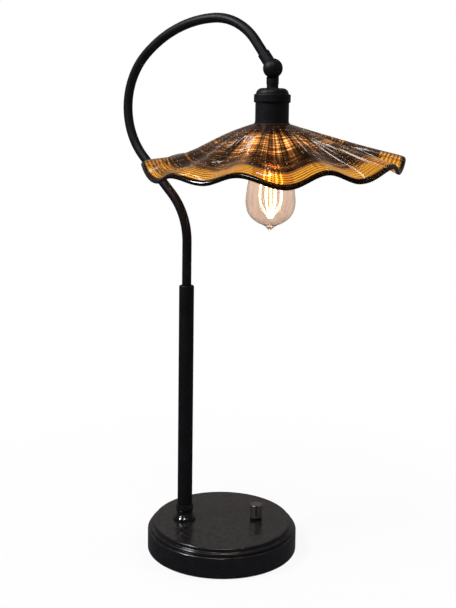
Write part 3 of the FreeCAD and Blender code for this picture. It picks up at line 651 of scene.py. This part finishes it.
def rough_iron():
    return finish(
        "rough_iron", (0.05, 0.05, 0.05), (0.16, 0.15, 0.14), rough=(0.55, 0.85), metallic=0.7,
        grain=420.0, cloud=45.0, fleck=0.5, fleck_colour=(0.22, 0.10, 0.05), bump=0.7,
        depth=0.6 * MM)


def zinc_plate():
    return finish(
        "zinc_plate", (0.40, 0.41, 0.42), (0.68, 0.67, 0.62), rough=(0.22, 0.42), metallic=1.0,
        grain=600.0, cloud=70.0, stretch=(1.0, 0.4, 1.0), fleck_colour=(0.75, 0.70, 0.50),
        bump=0.12, depth=0.08 * MM)


def rolled_brass():
    return finish(
        "rolled_brass", (0.52, 0.36, 0.14), (0.80, 0.62, 0.30), rough=(0.20, 0.40), metallic=1.0,
        grain=500.0, cloud=55.0, stretch=(1.0, 1.0, 0.3), fleck=0.4,
        fleck_colour=(0.30, 0.16, 0.06), bump=0.12, depth=0.08 * MM)


def moulded_phenolic():
    return finish(
        "moulded_phenolic", (0.010, 0.009, 0.008), (0.030, 0.024, 0.020), rough=(0.22, 0.40),
        grain=500.0, cloud=30.0, fleck=0.2, fleck_colour=(0.08, 0.05, 0.03), bump=0.1,
        depth=0.1 * MM)


def pressed_fibre():
    return finish(
        "pressed_fibre", (0.16, 0.06, 0.04), (0.34, 0.16, 0.10), rough=(0.6, 0.85), cloud=80.0,
        stretch=(1.0, 0.3, 1.0), fleck=0.5, fleck_colour=(0.45, 0.28, 0.18), bump=0.4,
        depth=0.2 * MM)


def moulded_rubber():
    return finish(
        "moulded_rubber", (0.010, 0.010, 0.010), (0.034, 0.033, 0.032), rough=(0.5, 0.75),
        grain=1100.0, cloud=60.0, fleck=0.2, fleck_colour=(0.08, 0.08, 0.08), bump=0.3,
        depth=0.15 * MM)


def fused_glass():
    return finish(
        "fused_glass", (0.006, 0.006, 0.012), (0.02, 0.02, 0.035), rough=(0.05, 0.15), grain=300.0,
        fleck=0.1, bump=0.05, depth=0.05 * MM)


def letting_lamps_through(n, output, shader, colour):
    """Glass that lamps shine through: for a ray that asks for light it is a clear tinted film."""
    asked = n.add("ShaderNodeLightPath").outputs["Is Shadow Ray"]
    film = n.add("ShaderNodeBsdfTransparent", {"Color": colour})
    n.put(output.inputs["Surface"], n.blend(asked, shader.outputs[0], film.outputs[0]))


def curve_over(n, share, stops):
    """A value that follows straight runs between (share, value) stops."""
    ramp_node = n.add("ShaderNodeValToRGB", {0: share})
    ramp = ramp_node.color_ramp
    while len(ramp.elements) < len(stops):
        ramp.elements.new(0.5)
    for element, (where, amount) in zip(ramp.elements, stops):
        element.position = where
        element.color = (amount, amount, amount, 1.0)
    return ramp_node.outputs["Color"]


# Runs of (share of the way from neck to rim, value): how much of the glass the black band covers,
# how far noise breaks it up, and how strong the thin black lines are
BAND_COVER = [(0.0, 0.90), (0.04, 0.94), (0.20, 0.66), (0.42, 0.70), (0.52, 0.86), (0.72, 0.86),
              (0.79, 0.44), (0.87, 0.18), (1.0, 0.16)]
BAND_BREAKS = [(0.0, 0.8), (0.60, 1.0), (0.76, 0.80), (0.86, 0.34), (1.0, 0.28)]
LINE_SHOW = [(0.0, 0.40), (0.5, 0.45), (0.78, 0.90), (0.90, 0.94), (1.0, 0.95)]
LIP_EDGE = (0.962, 0.978)
LIP_COLOUR = (0.002, 0.001, 0.001, 1.0)

# Painted glow in the shade's glass, given off as emission: its source in the bulb, its reach from
# there, its colour and its strength
GLOW_FROM = Vector(BALL) + Vector((0, 0, -128 * MM))
GLOW_REACH = (40 * MM, 118 * MM)
GLOW_COLOUR = (1.0, 0.38, 0.09, 1.0)
GLOW_STRENGTH = 3.6


def black_band(n, share, uneven):
    """1 where the broken black band covers the glass: its cover on the way from neck to rim, plus
    noises about their middle, each with its own weight, times how far they break the band up."""
    breaking = 0.0
    for value, weight in uneven:
        breaking = n.math("MULTIPLY_ADD", n.math("SUBTRACT", value, 0.5), weight, breaking)
    cover = curve_over(n, share, BAND_COVER)
    band = n.math("MULTIPLY_ADD", breaking, curve_over(n, share, BAND_BREAKS), cover)
    return n.span(band, 0.44, 0.62, smooth=True)


def painted_bulb_glow(n, place, share, bearing, rays):
    """How strongly the bulb's light is painted into the shade as a glow that the glass gives off. It is
    the greatest of three: a painted glow on the front, the side towards -Y, which falls off with the
    distance from the bulb and is cut into rays by noise over the bearing, a faint painted glow along
    the creases, and a faint one near the rim."""
    away = n.vector_math("DISTANCE", place, GLOW_FROM)
    near = n.math("POWER", n.span(away, *GLOW_REACH, 1.0, 0.0), 1.4)
    front = n.span(n.parts(bearing)["Y"], -1.0, -0.78, 1.0, 0.16, smooth=True)
    below_neck = n.span(share, 0.13, 0.36, smooth=True)
    glints = n.noise(n.stretched(bearing, (40.0, 40.0, 0.0)), 1.0, 2.0, 0.5)
    glints = n.span(glints, 0.42, 0.66, 0.45, 2.4, smooth=True)
    bright_rays = n.span(rays, 0.45, 0.60, 0.25, 3.0, smooth=True)
    bulb = n.product(near, front, below_neck, glints, bright_rays)
    creases = n.span(rays, 0.44, 0.62, 0.02, 0.07, smooth=True)
    creases = n.product(creases, n.span(share, 0.0, 0.10, 0.6, 1.0))
    rim = n.span(share, 0.72, 0.84, 0.0, 0.055, smooth=True)
    return n.math("MAXIMUM", n.math("MAXIMUM", bulb, creases), rim)


def threaded_glass(settings):
    """Amber glass with black threads. The UV map gives the turn (U) and the share from neck to rim (V).
    A broken black band follows a curve of V plus noise drawn out along the turns. Over it lie thin
    lines, where the sine of V times the thread count plus U peaks, so that they wind in one spiral. The
    lip is black. Noise over the bearing round the axis gives creases that run from neck to rim. The
    bulb's light in the glass is a painted glow that the glass gives off as emission, outwards only,
    because light given off inside the wall would run on to the lip, and none on the lip."""
    material, n, output = started("threaded_glass")
    uv = n.parts(n.add("ShaderNodeUVMap", uv_map="threads").outputs[0])
    turn, share = uv["X"], uv["Y"]
    place = n.place()
    spot = n.parts(place)
    on_cone = {"X": spot["X"], "Y": spot["Y"], "Z": share}
    on_cone = n.add("ShaderNodeCombineXYZ", on_cone).outputs[0]
    sway = n.noise(place, 16.0, 2.0, 0.5)
    streaks = n.noise(n.stretched(on_cone, (13.0, 13.0, 34.0)), 1.0, 4.0, 0.62)
    blots = n.noise(n.stretched(on_cone, (34.0, 34.0, 12.0)), 1.0, 4.0, 0.55)
    fine = n.noise(n.stretched(on_cone, (90.0, 90.0, 150.0)), 1.0, 3.0, 0.6)
    wavering = n.math("MULTIPLY_ADD", n.math("SUBTRACT", sway, 0.5), 0.09, share)
    wound = n.math("MULTIPLY_ADD", wavering, float(settings.thread_count), turn)
    wave = n.math("SINE", n.math("MULTIPLY", wound, 2 * math.pi))
    wave = n.math("MULTIPLY_ADD", wave, 0.5, 0.5)

    band = black_band(n, share, ((streaks, 2.9), (blots, 1.5), (fine, 0.7), (wave, 0.42)))
    line = n.math("POWER", wave, n.span(blots, 0.35, 0.65, 1.0, 2.4))
    line = n.math("MULTIPLY", line, curve_over(n, share, LINE_SHOW))
    lip = n.span(share, *LIP_EDGE, smooth=True)
    black = n.math("MAXIMUM", n.math("MAXIMUM", band, line), lip)
    warmth = n.math("MULTIPLY_ADD", n.math("SUBTRACT", blots, 0.5), 0.6, share)
    amber = n.mix(n.span(warmth, 0.30, 0.85), opaque(settings.umber), opaque(settings.amber))
    colour = n.mix(black, amber, opaque(settings.thread))
    colour = n.mix(lip, colour, LIP_COLOUR)

    level = n.stretched(n.vector_math("SUBTRACT", place, tuple(BALL)), (1.0, 1.0, 0.0))
    bearing = n.vector_math("NORMALIZE", level)
    rays = n.noise(n.stretched(bearing, (13.0, 13.0, 0.0)), 1.0, 2.0, 0.5)
    # Painted glow: emission that stands in for the bulb's light shining through the glass.
    outwards = n.math("SUBTRACT", 1.0, n.add("ShaderNodeNewGeometry").outputs["Backfacing"])
    unpainted = n.product(n.math("MULTIPLY_ADD", black, -0.85, 1.0), n.math("SUBTRACT", 1.0, lip))
    glow = n.product(painted_bulb_glow(n, place, share, bearing, rays), unpainted, outwards)

    sheen = n.product(n.span(streaks, 0.3, 0.7, 0.30, 0.06), n.span(share, 0.05, 0.35))
    height = n.math("MULTIPLY_ADD", wave, 0.06, n.math("MULTIPLY", sway, 1.6))
    height = n.math("MULTIPLY_ADD", rays, 9.0, height)
    shader = n.add("ShaderNodeBsdfPrincipled", {
        "Base Color": colour, "Roughness": n.span(streaks, 0.3, 0.7, 0.035, 0.08), "IOR": 1.50,
        "Transmission Weight": 0.97, "Specular IOR Level": 0.12,
        "Coat Weight": n.math("MAXIMUM", sheen, n.math("MULTIPLY", lip, 0.20)),
        "Coat Roughness": 0.20, "Coat IOR": 1.5,
        "Emission Color": n.mix(glow, BLACK, GLOW_COLOUR), "Emission Strength": GLOW_STRENGTH,
        "Normal": bumped(n, height, 0.10, 0.35 * MM),
    })
    letting_lamps_through(n, output, shader, colour)
    return material


def bubble_glass():
    """Seed bubbles: pale glass whose paleness varies from one bubble to the next, with a faint painted
    glow given off as emission in the same colour.
    """
    material, n, output = started("bubble_glass")
    place = n.place()
    tone = n.span(n.noise(place, 90.0, 2.0), 0.35, 0.65)
    colour = n.mix(tone, (0.42, 0.27, 0.17, 1.0), (0.95, 0.74, 0.56, 1.0))
    shader = n.add("ShaderNodeBsdfPrincipled", {
        "Base Color": colour, "Roughness": n.span(tone, 0.0, 1.0, 0.08, 0.25), "Coat Weight": 0.6,
        # Painted glow: a faint emission that makes the bubbles show bright against the dark glass.
        "Emission Color": colour, "Emission Strength": 0.12,
        "Normal": bumped(n, n.noise(place, 1500.0), 0.1, 0.05 * MM),
    })
    n.put(output.inputs["Surface"], shader.outputs[0])
    return material


def bulb_glass_finish(settings):
    """Clear blown glass with a warm tint, which deepens towards the tip and varies in broad upright
    bands, and a painted shade that turns it dark brown where the wall is seen edge on. The skin has
    fine cords."""
    material, n, output = started("bulb_glass_finish")
    place = n.place()
    deeper = n.span(n.parts(place)["Z"], BULB_LOW.z, BULB_HIGH.z, 1.0, 0.0)
    bands = n.noise(n.stretched(place, (110.0, 110.0, 10.0)), 1.0, 2.0)
    bands = n.span(bands, 0.38, 0.62, -0.30, 0.55)
    cords = n.noise(n.stretched(place, (260.0, 260.0, 14.0)), 1.0, 3.0)
    tint = tuple(settings.tint)
    pale = tuple(min(1.0, c * 1.20) for c in tint)
    share = n.math("MULTIPLY_ADD", deeper, 0.75, bands, clamp=True)
    colour = n.mix(share, opaque(pale), opaque(tint))
    # Painted shade: the colour turns dark brown where the wall is seen edge on, from whatever side it
    # is seen.
    edge = n.math("POWER", n.add("ShaderNodeLayerWeight", {"Blend": 0.5}).outputs["Facing"], 6.0)
    colour = n.mix(edge, colour, (0.30, 0.17, 0.10, 1.0))
    shader = n.add("ShaderNodeBsdfPrincipled", {
        "Base Color": colour, "Roughness": n.span(cords, 0.3, 0.7, 0.0, 0.03), "IOR": 1.46,
        "Transmission Weight": 1.0, "Normal": bumped(n, cords, 0.05, 0.2 * MM),
    })
    letting_lamps_through(n, output, shader, colour)
    return material


def lit_stem_glass(settings):
    """The glass mount inside the bulb, with a painted glow given off as emission, bright along the
    strands and dimmer towards its flare.
    """
    material, n, output = started("lit_stem_glass")
    place = n.place()
    lit = n.span(n.parts(place)["Z"], STEM_HIGH.z, STEM_HIGH.z - STEM_FLARE, 0.05, 1.0, smooth=True)
    cords = n.noise(n.stretched(place, (300.0, 300.0, 30.0)), 1.0)
    colour = n.mix(cords, (0.95, 0.80, 0.64, 1.0), (1.0, 0.93, 0.84, 1.0))
    # Painted glow: emission that stands in for the strands' light in the stem's glass.
    glow = n.mix(lit, (0.02, 0.01, 0.005, 1.0), opaque(settings.glow))
    shader = n.add("ShaderNodeBsdfPrincipled", {
        "Base Color": colour, "Roughness": n.span(cords, 0.3, 0.7, 0.04, 0.12), "IOR": 1.46,
        "Transmission Weight": 0.5, "Emission Color": glow, "Emission Strength": 1.6,
        "Normal": bumped(n, cords, 0.1, 0.1 * MM),
    })
    n.put(output.inputs["Surface"], shader.outputs[0])
    return material


def glowing_wire(settings):
    """Hot wire whose light varies along each strand, with the fine turns of its coil as the sine
    of the height over their pitch."""
    material, n, output = started("glowing_wire")
    place = n.place()
    turns = n.math("SINE", n.math("MULTIPLY", n.parts(place)["Z"], 2 * math.pi / COIL_PITCH))
    uneven = n.noise(place, 120.0)
    hotter = n.span(n.math("MULTIPLY_ADD", turns, 0.1, uneven), 0.3, 0.7)
    glow = n.mix(hotter, (1.0, 0.60, 0.30, 1.0), opaque(settings.glow))
    shader = n.add("ShaderNodeBsdfPrincipled", {
        "Base Color": n.mix(uneven, (0.5, 0.4, 0.3, 1.0), (0.8, 0.7, 0.6, 1.0)),
        "Roughness": n.span(uneven, 0.3, 0.7, 0.4, 0.6), "Emission Color": glow,
        "Emission Strength": settings.glow_strength, "Normal": bumped(n, turns, 0.4, 0.1 * MM),
    })
    n.put(output.inputs["Surface"], shader.outputs[0])
    return material


def dress(material, *nodes):
    """Gives a finish to nodes of the frame."""
    for name in nodes:
        for slot in frame["nodes"][name].material_slots:
            slot.material = material


# Operators

class LAMP_OT_paint_metal(bpy.types.Operator):
    """Gives the outer metal its satin paint: base, pole, arm, knuckle, socket and rings"""

    bl_idname = "lamp.paint_metal"
    bl_label = "Paint the metal"

    def execute(self, context):
        settings = context.scene.lamp_metal
        dress(dusty_paint(settings), "base_shell")
        dress(glossy_paint(settings), "pole_foot")
        dress(satin_paint(settings), "pole", "pole_bush", "arm_tube", "knuckle_arm_half",
              "knuckle_socket_half", "stem_coupler", "socket_cap", "cap_ring", "socket_cup",
              "shade_ring", "switch_ring_nut")
        return {"FINISHED"}


class LAMP_OT_finish_underside(bpy.types.Operator):
    """Finishes the felt, the iron weight, the cord's bushing, the gasket and the inner leads"""

    bl_idname = "lamp.finish_underside"
    bl_label = "Finish the underside"

    def execute(self, context):
        dress(wool_felt(), "felt_pad")
        dress(rough_iron(), "base_weight")
        dress(moulded_rubber(), "cord_bushing", "shade_gasket", "base_lead", "arm_lead", "socket_lead")
        return {"FINISHED"}


class LAMP_OT_finish_dimmer(bpy.types.Operator):
    """Finishes the dimmer's knob, its pointer and the switch below it"""

    bl_idname = "lamp.finish_dimmer"
    bl_label = "Finish the dimmer"

    def execute(self, context):
        dress(brushed_nickel(context.scene.lamp_metal), "switch_knob")
        # The pointer's black also paints a dark reflection down the knob's front.
        dress(pointer_paint(), "knob_pointer")
        dress(moulded_phenolic(), "switch_body", "lamp_holder")
        return {"FINISHED"}


class LAMP_OT_finish_fittings(bpy.types.Operator):
    """Finishes the plated screws, nuts and tubes, the brass contacts and the fibre washers"""

    bl_idname = "lamp.finish_fittings"
    bl_label = "Finish the fittings"

    def execute(self, context):
        dress(zinc_plate(), "bottom_plate", "plate_screws", "pole_nipple", "nipple_washer",
              "nipple_nut", "pole_plug", "swing_stop_screw", "swing_collar", "collar_set_screw",
              "swing_washer", "shank_set_screw", "knuckle_screw", "knuckle_washer", "socket_nipple",
              "cap_nut", "knob_set_screw", "switch_shaft", "bulb_supports")
        dress(rolled_brass(), "switch_bushing", "switch_terminals", "terminal_screws", "socket_shell",
              "socket_contact", "bulb_cap", "bulb_contact")
        dress(pressed_fibre(), "friction_disc", "shade_washer")
        dress(fused_glass(), "bulb_insulator")
        return {"FINISHED"}


class LAMP_OT_blow_shade(bpy.types.Operator):
    """Makes the wavy glass shade with its rounded lip"""

    bl_idname = "lamp.blow_shade"
    bl_label = "Blow the shade"

    def execute(self, context):
        settings = context.scene.lamp_shade
        piece("glass_shade_blown", shade_mesh(settings), "head",
              threaded_glass(settings), ["glass_shade"])
        return {"FINISHED"}


class LAMP_OT_add_bubbles(bpy.types.Operator):
    """Adds the seed bubbles that stand in columns on the shade"""

    bl_idname = "lamp.add_bubbles"
    bl_label = "Add the bubbles"

    def execute(self, context):
        settings = context.scene.lamp_shade
        piece("shade_bubbles", bubble_mesh(settings), "head", bubble_glass())
        return {"FINISHED"}


class LAMP_OT_blow_bulb(bpy.types.Operator):
    """Makes the bulb's glass with its leaning tip, and finishes the mount inside it"""

    bl_idname = "lamp.blow_bulb"
    bl_label = "Blow the bulb"

    def execute(self, context):
        settings = context.scene.lamp_bulb
        piece("bulb_envelope", bulb_mesh(settings), "head",
              bulb_glass_finish(settings), ["bulb_glass"])
        dress(lit_stem_glass(settings), "bulb_stem")
        return {"FINISHED"}


class LAMP_OT_light_filament(bpy.types.Operator):
    """Makes the glowing strands of the filament"""

    bl_idname = "lamp.light_filament"
    bl_label = "Light the filament"

    def execute(self, context):
        settings = context.scene.lamp_bulb
        piece("filament_glowing", strand_mesh(settings), "head",
              glowing_wire(settings), ["filament"])
        return {"FINISHED"}


# Stage: camera, lamps, floor and sky

CAMERA_PLACE = (2.99 * MM, -1245.8 * MM, 583.49 * MM)
CAMERA_PITCH_DOWN = math.radians(5.785)
CAMERA_ROLL = 0.0127
CAMERA_LENS_MM = 55.99
CAMERA_SENSOR_MM = 36.0
CAMERA_SHIFT_Y = -0.15
CAMERA_SEES_TO = 50.0

# Soft lamps as (name, setting of its power, place, aim, size, colour, seen in glossy faces)
LAMPS = [
    ("key_lamp", "key_power", (-1.03, -0.38, 1.45), (0.0, 0.0, 0.45), (0.28, 0.28),
     (0.93, 0.96, 1.0), True),
    ("edge_lamp", "edge_power", (-0.155, -0.634, 1.56), (0.05, -0.07, 0.52), (0.35, 0.06),
     (0.90, 0.94, 1.0), True),
    ("fill_lamp", "fill_power", (1.15, 0.15, 1.35), (0.05, -0.05, 0.45), (0.8, 0.8),
     (1.0, 1.0, 1.0), False),
    ("top_lamp", "top_power", (-0.42, 0.74, 1.52), (0.05, -0.07, 0.56), (0.50, 0.03),
     (1.0, 0.92, 0.86), True),
    ("top_lamp_right", "top_power", (0.52, 0.74, 1.52), (0.05, -0.07, 0.56), (0.50, 0.03),
     (1.0, 0.92, 0.86), True),
]

# The floor's rings, and where it fades into white, as distances from the lamp
FLOOR_RINGS = (0.001, 0.5, 9.0)
FLOOR_COLUMNS = 96
FLOOR_LEVEL = -0.2 * MM
FLOOR_FADE = (0.16, 0.75)
FLOOR_WHITE_NEAR = 0.88
FLOOR_COLOUR = (0.86, 0.86, 0.86, 1.0)
FLOOR_GLOSS_COLOUR = (0.90, 0.92, 1.0, 1.0)
FLOOR_IN_GLOSS = 0.06
SKY_GLOSS_COLOUR = (1.0, 0.92, 0.86, 1.0)
SKY_IN_GLOSS_FRONT = 0.07
SKY_IN_GLOSS_BACK = 0.17
SKY_TOP_SHARE = 0.12


def add_camera():
    """The camera that sees the lamp as the photo does."""
    data = bpy.data.cameras.new("camera")
    data.lens = CAMERA_LENS_MM
    data.sensor_width = CAMERA_SENSOR_MM
    data.shift_y = CAMERA_SHIFT_Y
    data.clip_end = CAMERA_SEES_TO
    camera = added("camera", data)
    pitched = Matrix.Rotation(math.pi / 2 - CAMERA_PITCH_DOWN, 4, "X")
    rolled = Matrix.Rotation(CAMERA_ROLL, 4, "Z")
    camera.matrix_world = Matrix.Translation(CAMERA_PLACE) @ pitched @ rolled
    bpy.context.scene.camera = camera


def add_soft_lamp(name, power, place, aim, size, colour, mirrored):
    """A rectangular soft lamp at a place, aimed at a point, seen in glossy faces or not."""
    data = bpy.data.lights.new(name, "AREA")
    data.shape = "RECTANGLE"
    data.size, data.size_y = size
    data.energy = power
    data.color = colour
    lamp = added(name, data)
    lamp.visible_glossy = mirrored
    back = Vector(place) - Vector(aim)
    lamp.matrix_world = Matrix.Translation(place) @ back.to_track_quat("Z", "Y").to_matrix().to_4x4()


def seen_and_mirrored(n):
    """1 for rays from the camera or through glass, and 1 for rays that a glossy face throws back."""
    path = n.add("ShaderNodeLightPath").outputs
    seen = n.math("MAXIMUM", path["Is Camera Ray"], path["Is Transmission Ray"])
    return seen, n.math("MULTIPLY", path["Is Glossy Ray"], n.math("SUBTRACT", 1.0, seen))


def add_floor():
    """A pale floor that keeps the lamp's shadow near the base and fades into the white beyond."""
    angle = 2 * np.pi * np.arange(FLOOR_COLUMNS) / FLOOR_COLUMNS
    radius = np.array(FLOOR_RINGS)[:, None]
    across, ahead = radius * np.cos(angle), radius * np.sin(angle)
    points = np.stack([across, ahead, np.full(across.shape, FLOOR_LEVEL)], axis=-1)
    mesh = mesh_from_grid("floor", points, False)
    material, n, output = started("pale_floor")
    far = n.vector_math("LENGTH", n.place())
    fade = n.span(far, *FLOOR_FADE, FLOOR_WHITE_NEAR, 1.0, smooth=True)
    seen, mirrored = seen_and_mirrored(n)
    matt = n.add("ShaderNodeBsdfDiffuse", {"Color": FLOOR_COLOUR}).outputs[0]
    white = n.add("ShaderNodeEmission", {"Color": WHITE, "Strength": 1.0}).outputs[0]
    dim = n.add("ShaderNodeEmission", {"Color": FLOOR_GLOSS_COLOUR, "Strength": FLOOR_IN_GLOSS})
    pale = n.blend(n.product(seen, fade), matt, white)
    n.put(output.inputs["Surface"], n.blend(mirrored, pale, dim.outputs[0]))
    mesh.materials.append(material)
    floor = added("floor", mesh)


def add_sky(settings):
    """White where it is seen, and an even light on what is matt. Glossy faces mirror a dim sky,
    brighter behind the lamp than in front of it, and dimmer still overhead."""
    world = bpy.data.worlds.new("sky")
    world.use_nodes = True
    bpy.context.scene.world = world
    world.node_tree.nodes.clear()
    n = Nodes(world.node_tree)
    towards = n.parts(n.add("ShaderNodeTexCoord").outputs["Generated"])
    gloss = n.span(towards["Y"], -0.3, 0.8, SKY_IN_GLOSS_FRONT, SKY_IN_GLOSS_BACK, smooth=True)
    gloss = n.product(gloss, n.span(towards["Z"], 0.45, 0.72, 1.0, SKY_TOP_SHARE, smooth=True))
    seen, mirrored = seen_and_mirrored(n)
    strength = n.math("MULTIPLY_ADD", mirrored, n.math("SUBTRACT", gloss, settings.sky), settings.sky)
    strength = n.math("MAXIMUM", strength, seen)
    tone = n.mix(mirrored, WHITE, SKY_GLOSS_COLOUR)
    background = n.add("ShaderNodeBackground", {"Color": tone, "Strength": strength})
    n.put(n.add("ShaderNodeOutputWorld").inputs["Surface"], background.outputs[0])


class LAMP_OT_set_stage(bpy.types.Operator):
    """Adds the camera, the soft lamps, the pale floor and the sky"""

    bl_idname = "lamp.set_stage"
    bl_label = "Set the stage"

    def execute(self, context):
        settings = context.scene.lamp_stage
        add_camera()
        for name, power, *rest in LAMPS:
            add_soft_lamp(name, getattr(settings, power), *rest)
        add_floor()
        add_sky(settings)
        context.scene.view_settings.view_transform = "Standard"
        return {"FINISHED"}


OPERATORS = (
    LAMP_OT_paint_metal, LAMP_OT_finish_underside, LAMP_OT_finish_dimmer, LAMP_OT_finish_fittings,
    LAMP_OT_blow_shade, LAMP_OT_add_bubbles, LAMP_OT_blow_bulb, LAMP_OT_light_filament,
    LAMP_OT_set_stage,
)
SETTINGS = {
    "lamp_shade": LampShadeSettings, "lamp_bulb": LampBulbSettings,
    "lamp_metal": LampMetalSettings, "lamp_stage": LampStageSettings,
}


class LAMP_PT_panel(bpy.types.Panel):
    """Lists the lamp's settings and steps in the sidebar"""

    bl_label = "Art Glass Table Lamp"
    bl_idname = "LAMP_PT_panel"
    bl_space_type = "VIEW_3D"
    bl_region_type = "UI"
    bl_category = "Lamp"

    def draw(self, context):
        for name, group in SETTINGS.items():
            box = self.layout.box()
            for key in group.__annotations__:
                box.prop(getattr(context.scene, name), key)
        for operator in OPERATORS:
            self.layout.operator(operator.bl_idname)


def register():
    for group in SETTINGS.values():
        bpy.utils.register_class(group)
    for name, group in SETTINGS.items():
        setattr(bpy.types.Scene, name, bpy.props.PointerProperty(type=group))
    for operator in OPERATORS:
        bpy.utils.register_class(operator)
    bpy.utils.register_class(LAMP_PT_panel)


def unregister():
    bpy.utils.unregister_class(LAMP_PT_panel)
    for operator in reversed(OPERATORS):
        bpy.utils.unregister_class(operator)
    for name, group in SETTINGS.items():
        delattr(bpy.types.Scene, name)
        bpy.utils.unregister_class(group)


def main():
    register()
    bpy.ops.lamp.paint_metal()
    bpy.ops.lamp.finish_underside()
    bpy.ops.lamp.finish_dimmer()
    bpy.ops.lamp.finish_fittings()
    bpy.ops.lamp.blow_shade()
    bpy.ops.lamp.add_bubbles()
    bpy.ops.lamp.blow_bulb()
    bpy.ops.lamp.light_filament()
    bpy.ops.lamp.set_stage()


if __name__ == "__main__":
    main()
